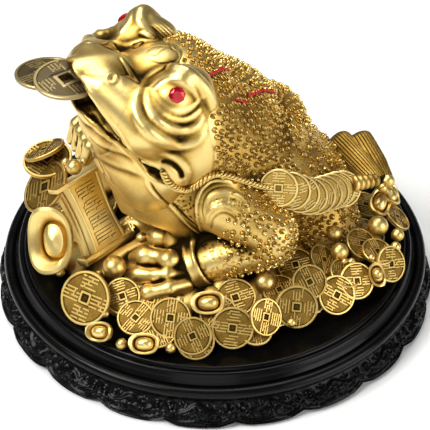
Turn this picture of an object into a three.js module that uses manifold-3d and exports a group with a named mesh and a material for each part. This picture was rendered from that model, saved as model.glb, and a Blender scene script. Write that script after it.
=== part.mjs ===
import * as THREE from 'three';
import { ParametricGeometry } from 'three/addons/geometries/ParametricGeometry.js';
import { mergeVertices } from 'three/addons/utils/BufferGeometryUtils.js';
import Module from 'manifold-3d';

// A money toad: a gilt cast toad that sits on a heap of coins and holds two loose coins in its
// mouth, on a turned and carved black plinth. Millimetres, +Z up. The origin is the centre of the
// plinth's underside. The toad faces -Y, and its left side is +X.

// Plinth
const plinthRadius = 134;
const plinthHeight = 31.2;
const rimWidth = 20.6;
const beadWidth = 3.2;
const beadRise = 1;
const ovoloRadius = 3.5;
const ovoloSetback = 7.5;
const coveDepth = 4.6;
const skirtShare = 0.433;
const skirtFlare = 5;
const skirtLobes = 16;
const lobeDepth = 1.2;
const plinthFacets = 48;

// Heap of treasure
const heapMargin = 4.5;
const heapHeight = 27;
const heapCoinDiameter = 24;
const heapCoinThickness = 2.6;
const coinHoleShare = 0.2;
const pearlDiameter = 13;
const ingotLength = 25;
const plaqueWidth = 33;
const plaqueHeight = 47;
const plaqueThickness = 8;
const plaqueRim = 3.4;
const largeCoinDiameter = 32;
const largeIngotLength = 40;

// Toad, and what is fitted to it
const figureHeight = 162;
const mouthCoinDiameter = 38;
const mouthCoinThickness = 2.4;
const gemDiameter = 9.6;
const gemDepth = 4;
const stringCoinDiameter = 25;
const stringCoins = 9;
const ropeDiameter = 4;
const gap = 0.3;
const coinSides = 20;

const skirtHeight = plinthHeight * skirtShare;
const discRadius = plinthRadius - rimWidth;
const heapRadius = discRadius - heapMargin;
// The toad is drawn on a grid of 162 squares to its own height.
const grid = figureHeight / 162;

const wasm = await Module();
wasm.setup();

// A closed geometry as a solid: shared corners are merged, faces that fell flat are dropped, and
// a surface that came out inside out is turned round.
function solidOf(geometry) {
  const bare = geometry.clone();
  bare.deleteAttribute('normal');
  bare.deleteAttribute('uv');
  const merged = mergeVertices(bare, 1e-3);
  const place = merged.attributes.position;
  const corner = [0, 1, 2].map(() => new THREE.Vector3());
  const kept = [];
  let volume = 0;
  for (let i = 0; i < merged.index.count; i += 3) {
    const [a, b, c] = [0, 1, 2].map((k) => merged.index.getX(i + k));
    if (a === b || b === c || c === a) continue;
    kept.push(a, b, c);
    [a, b, c].forEach((v, k) => corner[k].fromBufferAttribute(place, v));
    volume += corner[0].dot(corner[1].clone().cross(corner[2]));
  }
  if (volume < 0) kept.reverse();
  return new wasm.Manifold(
    new wasm.Mesh({
      numProp: 3,
      vertProperties: place.array,
      triVerts: new Uint32Array(kept),
    }),
  );
}

function geometryOf(solid) {
  const mesh = solid.getMesh();
  const geometry = new THREE.BufferGeometry();
  geometry.setAttribute('position', new THREE.BufferAttribute(mesh.vertProperties, mesh.numProp));
  geometry.setIndex(new THREE.BufferAttribute(mesh.triVerts, 1));
  geometry.computeVertexNormals();
  return geometry;
}

function joined(solids) {
  return solids.reduce((whole, next) => whole.add(next));
}

// A shape turned about X, then Y, then Z in degrees, and moved to a place.
function placed(geometry, at, turn = [0, 0, 0]) {
  const radians = turn.map((t) => THREE.MathUtils.degToRad(t));
  return geometry
    .clone()
    .applyMatrix4(new THREE.Matrix4().makeRotationFromEuler(new THREE.Euler(...radians, 'ZYX')))
    .translate(...at);
}

// A shape whose own +Z is turned to face a direction, spun about itself first, and moved.
function facing(geometry, at, direction, spin = 0) {
  const turn = new THREE.Quaternion().setFromUnitVectors(
    new THREE.Vector3(0, 0, 1),
    new THREE.Vector3(...direction).normalize(),
  );
  return geometry
    .clone()
    .rotateZ(THREE.MathUtils.degToRad(spin))
    .applyQuaternion(turn)
    .translate(...at);
}

function mirrored(geometry) {
  return geometry.clone().scale(-1, 1, 1);
}

// A struck coin: a flat disc with a square hole, its middle at the origin and its axis along Z.
function coin(diameter, thickness, facets, holed = true) {
  const outline = new THREE.Shape().absarc(0, 0, diameter / 2, 0, 2 * Math.PI);
  const half = (diameter * coinHoleShare) / 2;
  if (holed) {
    const hole = new THREE.Path();
    hole.moveTo(-half, -half).lineTo(half, -half).lineTo(half, half).lineTo(-half, half);
    hole.closePath();
    outline.holes.push(hole);
  }
  return new THREE.ExtrudeGeometry(outline, {
    depth: thickness,
    bevelEnabled: false,
    curveSegments: facets / 2,
  }).translate(0, 0, -thickness / 2);
}

// A boat-shaped ingot: a leaf-shaped hull whose two ends turn up, with a boss in its middle.
function ingot(length) {
  const width = length * 0.56;
  const depth = length * 0.36;
  const hull = new ParametricGeometry(
    (u, v, target) => {
      const along = 2 * v - 1;
      const beam = Math.sqrt(Math.max(0, 1 - along * along)) * (1 - 0.25 * along * along);
      const round = 2 * Math.PI * u;
      const below = Math.min(0, Math.sin(round)) * depth * (1 - along ** 2);
      const lift = along * along * depth * 0.35;
      target.set((along * length) / 2, (Math.cos(round) * beam * width) / 2, below + lift);
    },
    6,
    4,
  );
  const boss = new THREE.SphereGeometry(length * 0.2, 6, 4).scale(1.15, 1, 0.9);
  return [hull, boss];
}

// A limb: a round section carried along a smooth path, its radius read off a list of widths, with
// both ends rounded over.
function limb(path, widths, sides, rings) {
  const curve = new THREE.CatmullRomCurve3(path.map((p) => new THREE.Vector3(...p)));
  const frames = curve.computeFrenetFrames(rings);
  const thickness = new THREE.CatmullRomCurve3(
    widths.map((w, i) => new THREE.Vector3(i, w, 0)),
  );
  const length = curve.getLength();
  return new ParametricGeometry(
    (u, v, target) => {
      const ring = Math.round(v * rings);
      const width = thickness.getPoint(v).y;
      const fromEnd = Math.min(v, 1 - v) * length;
      const over = fromEnd < width ? Math.sqrt(1 - (1 - fromEnd / width) ** 2) : 1;
      const turn = 2 * Math.PI * u;
      curve.getPointAt(v, target);
      target.addScaledVector(frames.normals[ring], Math.cos(turn) * width * over);
      target.addScaledVector(frames.binormals[ring], Math.sin(turn) * width * over);
    },
    sides,
    rings,
  );
}

// A cord: a many-sided rod swept along a smooth path.
function cord(path, diameter, sides, steps) {
  const section = new THREE.Shape().absarc(0, 0, diameter / 2, 0, 2 * Math.PI);
  return new THREE.ExtrudeGeometry(section, {
    steps,
    curveSegments: sides / 2,
    extrudePath: new THREE.CatmullRomCurve3(path.map((p) => new THREE.Vector3(...p))),
  });
}

// Signed distance to a turned ellipsoid, near enough for blending: [x, y, z], radii, tilt about X.
function distanceToMass(point, { at, size, tilt = 0 }, side) {
  const angle = THREE.MathUtils.degToRad(-tilt);
  const x = point.x - at[0] * side;
  const y0 = point.y - at[1];
  const z0 = point.z - at[2];
  const y = y0 * Math.cos(angle) - z0 * Math.sin(angle);
  const z = y0 * Math.sin(angle) + z0 * Math.cos(angle);
  const near = Math.hypot(x / size[0], y / size[1], z / size[2]);
  const slope = Math.hypot(x / size[0] ** 2, y / size[1] ** 2, z / size[2] ** 2);
  return (near * (near - 1)) / Math.max(slope, 1e-6);
}

// Signed distance to a bar that tapers between two balls, stretched sideways by a share.
function distanceToBar(point, { at, to, size, wide = 1 }, side) {
  const start = new THREE.Vector3(at[0] * side, at[1], at[2]);
  const bar = new THREE.Vector3(to[0] * side, to[1], to[2]).sub(start);
  const away = point.clone().sub(start);
  away.x /= wide;
  const along = THREE.MathUtils.clamp(away.dot(bar) / bar.lengthSq(), 0, 1);
  return away.addScaledVector(bar, -along).length() - THREE.MathUtils.lerp(...size, along);
}

// The masses run into one another as clay does: each is blended to the ones before it.
function clay(masses, point) {
  let whole = Infinity;
  for (const mass of masses) {
    const blend = mass.blend ?? 10;
    for (const side of mass.paired ? [1, -1] : [1]) {
      const next = mass.to ? distanceToBar(point, mass, side) : distanceToMass(point, mass, side);
      const near = Math.max(blend - Math.abs(whole - next), 0) / blend;
      whole = Math.min(whole, next) - (near * near * blend) / 4;
    }
  }
  return whole;
}

// A closed skin over blended masses: every corner of a round ball is carried out from a centre to
// the masses' outermost surface.
function moulded(masses, centre, slices, stacks) {
  const ball = new THREE.SphereGeometry(1, slices, stacks);
  const place = ball.attributes.position;
  const heart = new THREE.Vector3(...centre);
  const direction = new THREE.Vector3();
  const point = new THREE.Vector3();
  const farthest = 130;
  const stride = 1;
  for (let i = 0; i < place.count; i++) {
    direction.fromBufferAttribute(place, i).normalize();
    const inside = (reach) => clay(masses, point.copy(heart).addScaledVector(direction, reach)) < 0;
    let outer = farthest;
    while (outer > stride && !inside(outer)) outer -= stride;
    let inner = outer;
    outer += stride;
    for (let halving = 0; halving < 12; halving++) {
      const middle = (inner + outer) / 2;
      if (inside(middle)) inner = middle;
      else outer = middle;
    }
    point.copy(heart).addScaledVector(direction, inner);
    place.setXYZ(i, point.x, point.y, point.z);
  }
  return ball;
}

// Plinth: a lathe-turned disc with a bead, a hollow, a half-round and a cove, over a flared skirt
// whose carving stands out in lobes.
function plinth() {
  const ovoloAxis = plinthRadius - ovoloSetback;
  const ovoloHeight = plinthHeight - ovoloRadius * 2.3;
  const coveRadius = plinthRadius - ovoloSetback - coveDepth + ovoloRadius;
  const profile = [new THREE.Vector2(0, 0)];
  profile.push(new THREE.Vector2(plinthRadius - 2.4, 0));
  profile.push(new THREE.Vector2(plinthRadius - lobeDepth, skirtHeight * 0.38));
  profile.push(new THREE.Vector2(plinthRadius - skirtFlare * 0.7, skirtHeight * 0.75));
  profile.push(new THREE.Vector2(coveRadius + 1, skirtHeight));
  profile.push(new THREE.Vector2(coveRadius, ovoloHeight - ovoloRadius - 1));
  for (const turn of [-50, 30, 110]) {
    const angle = THREE.MathUtils.degToRad(turn);
    profile.push(
      new THREE.Vector2(
        ovoloAxis + Math.cos(angle) * ovoloRadius,
        ovoloHeight + Math.sin(angle) * ovoloRadius,
      ),
    );
  }
  profile.push(new THREE.Vector2(ovoloAxis - ovoloRadius - 1, ovoloHeight));
  profile.push(new THREE.Vector2(discRadius + beadWidth * 1.8, plinthHeight));
  profile.push(new THREE.Vector2(discRadius + beadWidth * 1.2, plinthHeight + beadRise));
  profile.push(new THREE.Vector2(discRadius + beadWidth * 0.3, plinthHeight + beadRise));
  profile.push(new THREE.Vector2(discRadius, plinthHeight));
  profile.push(new THREE.Vector2(0, plinthHeight));
  const turned = new THREE.LatheGeometry(profile, plinthFacets).rotateX(Math.PI / 2);
  const place = turned.attributes.position;
  for (let i = 0; i < place.count; i++) {
    const radius = Math.hypot(place.getX(i), place.getY(i));
    const height = place.getZ(i);
    if (height > skirtHeight * 0.9 || radius < discRadius) continue;
    const angle = Math.atan2(place.getY(i), place.getX(i));
    const lobe = 1 + (lobeDepth * Math.cos(angle * skirtLobes)) / radius;
    place.setXY(i, place.getX(i) * lobe, place.getY(i) * lobe);
  }
  return solidOf(turned);
}

// The toad's trunk: chest, back, rump and thighs.
const trunkMasses = [
  { at: [0, -25.8, 108.6], to: [0, 49.2, 26.9], size: [37.4, 35.2], wide: 1.3 },
  { at: [0, -30, 66], size: [43, 45, 56] },
  { at: [0, 14, 42], size: [54, 40, 34], blend: 20 },
  { at: [0, -1.5, 92.6], size: [35, 38, 30] },
  { at: [0, 40, 80.5], size: [25, 16, 16] },
  { at: [31, 46, 15], size: [22, 32, 24], paired: true, blend: 14 },
];

// The head: skull, cheeks, upper jaw, snout, forehead, brows and eyeballs.
const headMasses = [
  { at: [0, -43.5, 112.6], size: [33.6, 39.2, 33.4] },
  { at: [26.6, -38.6, 109.2], size: [16, 29.8, 43.1], paired: true },
  { at: [12.7, -71.6, 141.2], to: [35.3, -55.3, 126], size: [12.2, 14.7], paired: true },
  { at: [0, -72.3, 142.6], size: [14, 28, 12.6], tilt: -4.4, blend: 8 },
  { at: [0, -33.4, 130.4], size: [17.9, 20.7, 15.3], blend: 6 },
  { at: [25, -31.8, 135.9], size: [12, 13, 23.3], paired: true, blend: 5 },
  { at: [31, -39, 136.5], size: [12.5, 13, 13.5], paired: true, blend: 3 },
];

// The lower jaw and the throat pouch under it.
const jawMasses = [
  { at: [0, -63.3, 114.8], size: [33.3, 24.9, 10], tilt: -27.6 },
  { at: [0, -50.9, 83.9], size: [45, 25.1, 45.4], blend: 12 },
  { at: [10.1, -66, 113.1], to: [42.2, -31.4, 97.2], size: [7.2, 14.2], paired: true, blend: 8 },
];

const eyeCentre = [40.4, -39.5, 146];
const eyeDirection = [0.86, -0.24, 0.45];

// The lower coin is tipped away from the mouth, and the upper one lies level on its raised edge.
const coinTip = 8;
const tipAngle = THREE.MathUtils.degToRad(coinTip);
const awayFromMouth = new THREE.Vector3(-0.93, 0.36, 0).multiplyScalar(Math.sin(tipAngle));
const lowerMouthCoin = {
  at: onGrid([-20, -93.5, 135.4]),
  direction: [awayFromMouth.x, awayFromMouth.y, Math.cos(tipAngle)],
};
const coinRise = (mouthCoinDiameter / 2) * Math.sin(tipAngle) + mouthCoinThickness + gap;
const upperMouthCoin = {
  at: [...onGrid([-4, -87.5]), lowerMouthCoin.at[2] + coinRise],
  direction: [0, 0, 1],
};

// The gape: a wedge between the lips that is wide at the front, and a pocket at each corner, where
// the lips part again.
function gape() {
  const side = new THREE.Shape();
  side.moveTo(-110, 134).lineTo(-84, 133).lineTo(-66, 114.5).lineTo(-64, 118).lineTo(-82, 146);
  side.lineTo(-88, 153).lineTo(-88, 158).lineTo(-110, 158);
  side.closePath();
  const width = 60;
  const wedge = new THREE.ExtrudeGeometry(side, { depth: width, bevelEnabled: false });
  // The outline is drawn on the toad's own (Y, Z) plane and runs through it along X.
  const upright = new THREE.Matrix4().makeBasis(
    new THREE.Vector3(0, 1, 0),
    new THREE.Vector3(0, 0, 1),
    new THREE.Vector3(1, 0, 0),
  );
  wedge.applyMatrix4(upright).translate(-width / 2, 0, 0);
  const hollow = new THREE.SphereGeometry(1, 8, 6).scale(14, 15, 4);
  const pocket = placed(hollow, [45, -52, 94], [38, 0, 0]);
  return [wedge, pocket, mirrored(pocket)];
}

// Forelimbs: the left one lies forward on the heap, the right one reaches out to the side.
function forelimbs() {
  const upperArm = limb([[46, -14, 60], [54, 0, 57], [66, 12, 42]], [15, 19, 16], 10, 7);
  const elbowToWrist = [[74, 20, 33], [66, 8, 32], [56, -10, 28], [44, -30, 24]];
  const forearm = limb(elbowToWrist, [11, 16, 15, 11], 10, 8);
  const ball = new THREE.SphereGeometry(1, 8, 6);
  const palm = placed(ball.clone().scale(12, 14, 9), [39, -38, 22.5], [0, 0, -25]);
  const fingers = [
    [[36, -36, 30], [24, -57, 29]],
    [[38, -42, 26], [22, -62, 21]],
    [[42, -44, 19], [25, -67, 13]],
    [[47, -40, 13], [33, -66, 6]],
  ].map(([knuckle, tip]) => {
    const middle = knuckle.map((k, i) => (k + tip[i]) / 2 + (i === 2 ? 2 : 0));
    return limb([knuckle, middle, tip], [5, 5.4, 5], 6, 4);
  });
  const rightUpperArm = limb([[-44, -10, 62], [-56, -4, 62], [-68, 4, 58]], [16, 19, 16], 8, 6);
  const rightForearm = limb([[-70, 10, 58], [-65, -12, 57], [-68, -42, 51]], [13, 18, 12], 10, 7);
  const rightPalm = ball.clone().scale(14, 12, 9).translate(-68, -46, 49);
  const rightFingers = [0, 1, 2, 3].map((i) => {
    const across = -80 + 8 * i;
    const path = [[across, -48, 55], [across + 1, -60, 52], [across + 3, -66, 37]];
    return limb(path, [4, 5, 4.4], 6, 4);
  });
  const left = [upperArm, forearm, palm, ...fingers];
  return [...left, rightUpperArm, rightForearm, rightPalm, ...rightFingers];
}

// The third leg: four ribbed toes that fan up and back from one heel.
function hindFoot() {
  const heel = [8, 100, 14];
  const shank = limb([[0, 72, 8], [6, 90, 12], heel], [14, 13, 7], 8, 6);
  const tips = [[-13, 86, 39], [-5, 98, 42], [0, 84, 27], [7, 105, 30]];
  return [shank, ...tips.map((tip) => {
    const middle = heel.map((h, i) => h + (tip[i] - h) * 0.6);
    return limb([heel, middle, tip], [4.5, 6.5, 6], 6, 4);
  })];
}

// Coins threaded on a cord from the mouth's corner: they lie on the flank like fallen dominoes.
function coinString() {
  const middles = [[51, 20, 69], [49, 34, 60], [41, 50, 50], [35, 62, 45], [27, 75, 39]];
  const route = new THREE.CatmullRomCurve3(middles.map((p) => new THREE.Vector3(...p)));
  const disc = coin(stringCoinDiameter / grid, heapCoinThickness / grid, 10, false);
  const coins = Array.from({ length: stringCoins }, (_, i) =>
    facing(disc, route.getPointAt(i / (stringCoins - 1)).toArray(), [0.82, -0.42 + 0.05 * i, 0.5]),
  );
  const draped = [[44, -50, 94], [47, -34, 89], [46, -14, 89], [46, 2, 79], [51, 18, 71]];
  const rope = cord(draped, ropeDiameter / grid, 6, 8);
  const tassel = limb([[26, 76, 38], [19, 86, 28], [12, 98, 20]], [3.5, 4.5, 5], 6, 6);
  return [...coins, rope, tassel];
}

// Flame scrolls in relief on the shoulder.
function shoulderScrolls() {
  const upper = [[45, -30, 58], [50, -20, 73], [58, -9, 73], [64, 1, 66]];
  const lower = [[47, -28, 49], [56, -19, 62], [64, -9, 64], [70, 2, 56]];
  return [upper, lower].map((path) => limb(path, [1.5, 3, 3, 1.5], 5, 6));
}

// The heap: a low round mound, and the coins, pearls and ingots that lean on it in rings.
function mound() {
  const profile = [new THREE.Vector2(0, 0), new THREE.Vector2(heapRadius * 0.94, 0)];
  for (const share of [1, 0.89, 0.56, 0])
    profile.push(new THREE.Vector2(heapRadius * share, heapSurface(share)));
  return new THREE.LatheGeometry(profile, 16).rotateX(Math.PI / 2);
}

// The knoll that the right hand and the plaque lean on.
function knoll() {
  return new THREE.SphereGeometry(1, 10, 7).scale(30, 38, 43).translate(-58, -37, 13);
}

function heapSurface(share) {
  return heapHeight * Math.max(0, 1 - share * share);
}

// Every thing on the heap leans outwards: its place is a bearing in degrees and a share of the
// heap's radius, and its face tips up from level by a lean in degrees.
function onHeap(shape, bearing, share, lean, rise = 0, spin = 0) {
  const angle = THREE.MathUtils.degToRad(bearing);
  const tip = THREE.MathUtils.degToRad(lean);
  const radius = heapRadius * share;
  return facing(
    shape,
    [radius * Math.cos(angle), radius * Math.sin(angle), heapSurface(share) + rise],
    [Math.sin(tip) * Math.cos(angle), Math.sin(tip) * Math.sin(angle), Math.cos(tip)],
    spin,
  );
}

function treasure() {
  const heapCoin = coin(heapCoinDiameter, heapCoinThickness, 10);
  const coveredCoin = coin(heapCoinDiameter, heapCoinThickness, 8, false);
  const largeCoin = coin(largeCoinDiameter, heapCoinThickness, 14);
  const pearl = new THREE.SphereGeometry(pearlDiameter / 2, 6, 5);
  const [hull, boss] = ingot(ingotLength);
  const pieces = [];
  // The outer ring stands on the disc's edge of the heap, the upper ring lies on its shoulder.
  const outerBearings = [-50, -31, -15, 8, 25, 40, 104, 132, 160, 188];
  outerBearings.forEach((bearing, i) => {
    const shape = bearing < 90 ? heapCoin : coveredCoin;
    pieces.push(onHeap(shape, bearing, 0.87 + 0.03 * (i % 2), 48 + 6 * (i % 3), 3.5, 20 * i));
  });
  const upperBearings = [-62, -8, 18, 56, 136];
  upperBearings.forEach((bearing, i) => {
    pieces.push(onHeap(coveredCoin, bearing, 0.72 + 0.04 * (i % 2), 34 + 8 * (i % 3), 3, 35 * i));
  });
  for (const bearing of [-73, 228]) pieces.push(onHeap(largeCoin, bearing, 0.9, 56, 7));
  const pearlPlaces = [[-72, 0.72], [2, 0.66], [44, 0.74], [66, 0.9], [164, 0.72]];
  for (const [bearing, share] of pearlPlaces) pieces.push(onHeap(pearl, bearing, share, 0, 4));
  const ingotPlaces = [[-61, 0.86, 70], [-42, 0.84, 20], [-27, 0.7, 100], [82, 0.86, 90]];
  ingotPlaces.push([222, 0.84, 60]);
  for (const [bearing, share, turn] of ingotPlaces)
    for (const shape of [hull, boss]) pieces.push(onHeap(shape, bearing, share, 30, 4, turn));
  const [largeHull, largeBoss] = ingot(largeIngotLength);
  for (const shape of [largeHull, largeBoss])
    pieces.push(facing(shape, [-12, -94, 17], [0.62, -0.5, 0.6], 80));
  return pieces;
}

// The inscribed plaque that leans on the toad's chest: waisted sides between two moulded rims.
function plaque() {
  const waist = 3;
  const half = plaqueWidth / 2;
  const tall = plaqueHeight / 2;
  const outline = new THREE.Shape();
  outline.moveTo(-half, -tall).lineTo(half, -tall);
  outline.quadraticCurveTo(half - 2 * waist, 0, half, tall);
  outline.lineTo(-half, tall);
  outline.quadraticCurveTo(-half + 2 * waist, 0, -half, -tall);
  const slab = new THREE.ExtrudeGeometry(outline, {
    depth: plaqueThickness,
    bevelEnabled: false,
    curveSegments: 4,
  }).translate(0, 0, -plaqueThickness / 2);
  const rim = new THREE.BoxGeometry(plaqueWidth + plaqueRim, plaqueRim, plaqueThickness + plaqueRim);
  const rims = [-tall, tall].map((height) => rim.clone().translate(0, height, 0));
  const across = new THREE.Vector3(-0.12, 0.97, 0.2).normalize();
  const up = new THREE.Vector3(-0.485, -0.127, 0.865);
  const out = across.clone().cross(up).normalize();
  up.copy(out).cross(across);
  const stance = new THREE.Matrix4().makeBasis(across, up, out);
  return [slab, ...rims].map((shape) => shape.applyMatrix4(stance).translate(-13, -77, 37));
}

// A cut stone: eight facets round a flat table, with a shallow back.
function gem(diameter, depth) {
  const profile = [[0, -depth / 2], [diameter * 0.44, -depth / 2], [diameter / 2, 0]];
  profile.push([diameter * 0.32, depth / 2], [0, depth / 2]);
  const points = profile.map(([radius, height]) => new THREE.Vector2(radius, height));
  return new THREE.LatheGeometry(points, 10).rotateX(Math.PI / 2);
}

function sized(geometry) {
  return geometry.clone().scale(grid, grid, grid);
}

function figure() {
  const trunk = moulded(trunkMasses, [0, 4, 52], 20, 13);
  const skull = moulded(headMasses, [0, -44, 116], 24, 17);
  const jaw = moulded(jawMasses, [0, -50, 96], 14, 10);
  const nostril = placed(new THREE.TorusGeometry(2.6, 1.1, 4, 7), [14, -74, 147], [-35, 22, 0]);
  const hood = new THREE.SphereGeometry(1, 10, 8).scale(12.5, 13.5, 25);
  const brow = placed(hood, [26.5, -32, 136.4], [0, 9, 0]);
  const head = joined([skull, jaw, brow, mirrored(brow)].map((shape) => solidOf(sized(shape))));
  const opened = gape().reduce((rest, cut) => rest.subtract(solidOf(sized(cut))), head);
  const drawn = [trunk, ...forelimbs(), ...hindFoot(), ...coinString(), ...shoulderScrolls()];
  drawn.push(nostril, mirrored(nostril));
  const toad = drawn.map((shape) => solidOf(sized(shape)));
  const bed = [mound(), knoll(), ...treasure(), ...plaque()];
  let whole = joined([opened, ...toad, ...bed.map(solidOf)]);
  for (const cut of seats()) whole = whole.subtract(solidOf(cut));
  const ground = new THREE.BoxGeometry(4 * heapRadius, 4 * heapRadius, heapRadius);
  return whole.subtract(solidOf(ground.translate(0, 0, -heapRadius / 2)));
}

function onGrid(at) {
  return at.map((value) => value * grid);
}

// What the loose coins and the stones leave in the casting: their own shapes, grown by the gap.
function seats() {
  const thickness = mouthCoinThickness + 2 * gap;
  const coinRoom = coin(mouthCoinDiameter + 3 * gap, thickness, coinSides, false);
  const stoneRoom = gem(gemDiameter + 2 * gap, gemDepth + 2 * gap);
  const stoneSeat = facing(stoneRoom, onGrid(eyeCentre), eyeDirection);
  const coins = [lowerMouthCoin, upperMouthCoin];
  return [
    ...coins.map(({ at, direction }) => facing(coinRoom, at, direction)),
    stoneSeat,
    mirrored(stoneSeat),
  ];
}

const gilt = new THREE.MeshStandardMaterial({ color: 0xc9a24b, metalness: 1, roughness: 0.34 });
const lacquer = new THREE.MeshStandardMaterial({ color: 0x0c0c0d, metalness: 0, roughness: 0.3 });
const bronze = new THREE.MeshStandardMaterial({ color: 0x8c7844, metalness: 1, roughness: 0.45 });
const ruby = new THREE.MeshStandardMaterial({ color: 0xc81828, metalness: 0, roughness: 0.08 });

function named(name, geometry, material) {
  const mesh = new THREE.Mesh(geometry, material);
  mesh.name = name;
  return mesh;
}

const moneyToad = new THREE.Group();
moneyToad.add(named('plinth', geometryOf(plinth()), lacquer));

// Everything above the plinth is placed from the disc that it stands on.
const onDisc = new THREE.Group();
onDisc.position.z = plinthHeight + gap;
moneyToad.add(onDisc);
onDisc.add(named('toad_figure', geometryOf(figure()), gilt));

const looseCoin = coin(mouthCoinDiameter, mouthCoinThickness, coinSides);
for (const [name, { at, direction }] of [
  ['mouth_coin_lower', lowerMouthCoin],
  ['mouth_coin_upper', upperMouthCoin],
])
  onDisc.add(named(name, geometryOf(solidOf(facing(looseCoin, at, direction))), bronze));

const leftGem = facing(gem(gemDiameter, gemDepth), onGrid(eyeCentre), eyeDirection);
onDisc.add(named('eye_gem_left', geometryOf(solidOf(leftGem)), ruby));
onDisc.add(named('eye_gem_right', geometryOf(solidOf(mirrored(leftGem))), ruby));

export default moneyToad;
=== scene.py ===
"""A money toad: a gilt cast toad on a heap of coins, with two loose coins in its mouth, on a
turned and carved black plinth. Sizes are in millimetres until a mesh is made, and +Z is up. The
toad faces -Y, and its left side is +X."""

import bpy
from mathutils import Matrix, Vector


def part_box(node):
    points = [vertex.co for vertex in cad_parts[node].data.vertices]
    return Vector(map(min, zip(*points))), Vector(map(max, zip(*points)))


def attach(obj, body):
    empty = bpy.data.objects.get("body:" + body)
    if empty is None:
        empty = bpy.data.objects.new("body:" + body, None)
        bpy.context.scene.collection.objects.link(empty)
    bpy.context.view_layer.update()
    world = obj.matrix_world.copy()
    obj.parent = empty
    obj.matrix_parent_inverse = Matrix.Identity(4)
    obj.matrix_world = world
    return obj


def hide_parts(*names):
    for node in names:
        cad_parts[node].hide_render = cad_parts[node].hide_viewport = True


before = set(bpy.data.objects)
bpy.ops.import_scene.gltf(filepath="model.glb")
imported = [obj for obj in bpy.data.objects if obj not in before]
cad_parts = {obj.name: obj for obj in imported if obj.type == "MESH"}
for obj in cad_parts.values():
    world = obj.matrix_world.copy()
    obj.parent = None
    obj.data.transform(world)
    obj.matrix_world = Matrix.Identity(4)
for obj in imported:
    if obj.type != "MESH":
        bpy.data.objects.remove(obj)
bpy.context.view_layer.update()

import math

import bpy
import numpy as np
import openvdb
from mathutils import Matrix

# The view. The figure is seen from its left and from above, from far enough off that the heap's
# coins keep their true size from front to back. Relief that is placed by a point of the picture
# is carried along these sight lines to the skin that it is cut in.
AZIMUTH = math.radians(67)
ELEVATION = math.radians(40)
EYE_DISTANCE = 1200.0
LOOKED_AT = np.array([0.0, 0.0, 48.0])
FOCAL_PIXELS = 1974.0
PICTURE_SIDE = 430.0
PICTURE_MIDDLE = np.array([215.5, 215.0])
SENSOR_WIDTH = 36.0
METRES = 0.001

across = np.array([math.cos(AZIMUTH), math.sin(AZIMUTH), 0.0])
back = np.array([math.sin(AZIMUTH), -math.cos(AZIMUTH), 0.0]) * math.cos(ELEVATION)
back[2] = math.sin(ELEVATION)
upward = np.cross(back, across)
eye = LOOKED_AT + back * EYE_DISTANCE

view = bpy.data.cameras.new("view")
view.sensor_width = SENSOR_WIDTH
view.lens = FOCAL_PIXELS / PICTURE_SIDE * SENSOR_WIDTH
view.clip_end = 10
camera = bpy.data.objects.new("camera", view)
turn = Matrix([across, upward, back]).transposed().to_4x4()
camera.matrix_world = Matrix.Translation(eye * METRES) @ turn
bpy.context.scene.collection.objects.link(camera)
bpy.context.scene.camera = camera


def sight_lines(pixels):
    """Unit directions, one a column, from the eye through points of the picture: across and up by
    the point's distance from the middle over the focal length, and one unit forward."""
    side, down = (np.asarray(pixels, float) - PICTURE_MIDDLE).T / FOCAL_PIXELS
    rays = across[:, None] * side - upward[:, None] * down - back[:, None]
    return rays / np.linalg.norm(rays, axis=0)


# The plinth. Turned from one block of hardwood: a flat disc inside two beads, a hollow shoulder and
# a half-round, over a skirt carved in lobes with garlands, leaves, curls and swags. It is finished
# in gloss black lacquer, which pools in the carving and leaves long soft lights on the mouldings.
PLINTH_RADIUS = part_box("plinth")[1][0] / METRES
DISC_HEIGHT = 31.2
DISC_RADIUS = 113.4
UNDERSIDE_RISE = 0.6
SKIRT_LOBES = 20
SKIRT_FACE = 18.0
SCROLL_RISE = 1.8
LOBE_RISE = 2.0
FOOT_LIFT = 3.0


def linear(code):
    """A colour written as sRGB hex, as linear red, green, blue and alpha."""
    channels = [int(code[i : i + 2], 16) / 255 for i in (1, 3, 5)]
    bent = [c / 12.92 if c <= 0.04045 else ((c + 0.055) / 1.055) ** 2.4 for c in channels]
    return (*bent, 1.0)


def add(tree, kind, inputs=None, **settings):
    """Adds a node: settings are its properties, and inputs holds values or sockets to link."""
    node = tree.nodes.new(kind)
    for name, value in settings.items():
        setattr(node, name, value)
    for name, value in (inputs or {}).items():
        if isinstance(value, bpy.types.NodeSocket):
            tree.links.new(value, node.inputs[name])
        else:
            node.inputs[name].default_value = value
    return node


def new_finish(name):
    """An empty material, and its node tree with only the output left in it."""
    material = bpy.data.materials.new(name)
    material.use_nodes = True
    tree = material.node_tree
    tree.nodes.clear()
    return material, tree, add(tree, "ShaderNodeOutputMaterial")


def make_piece(name, points, faces, finish, crease=None):
    """A piece in the row's frame from points in millimetres, one a row, and a list of arrays of
    face corners. Faces are smooth, or sharp along edges that bend by more than crease degrees."""
    mesh = bpy.data.meshes.new(name)
    sizes = np.concatenate([np.full(len(f), f.shape[1]) for f in faces])
    corners = np.concatenate([np.asarray(f).ravel() for f in faces])
    mesh.vertices.add(len(points))
    mesh.vertices.foreach_set("co", (np.asarray(points) * METRES).astype(np.float32).ravel())
    mesh.loops.add(len(corners))
    mesh.loops.foreach_set("vertex_index", corners.astype(np.int32))
    mesh.polygons.add(len(sizes))
    mesh.polygons.foreach_set("loop_start", np.concatenate([[0], np.cumsum(sizes)[:-1]]).astype(np.int32))
    mesh.polygons.foreach_set("use_smooth", np.ones(len(sizes), bool))
    mesh.update(calc_edges=True)
    if crease is not None:
        mesh.set_sharp_from_angle(angle=math.radians(crease))
    mesh.materials.append(finish)
    piece = bpy.data.objects.new(name, mesh)
    bpy.context.scene.collection.objects.link(piece)
    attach(piece, "root")
    return piece


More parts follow.
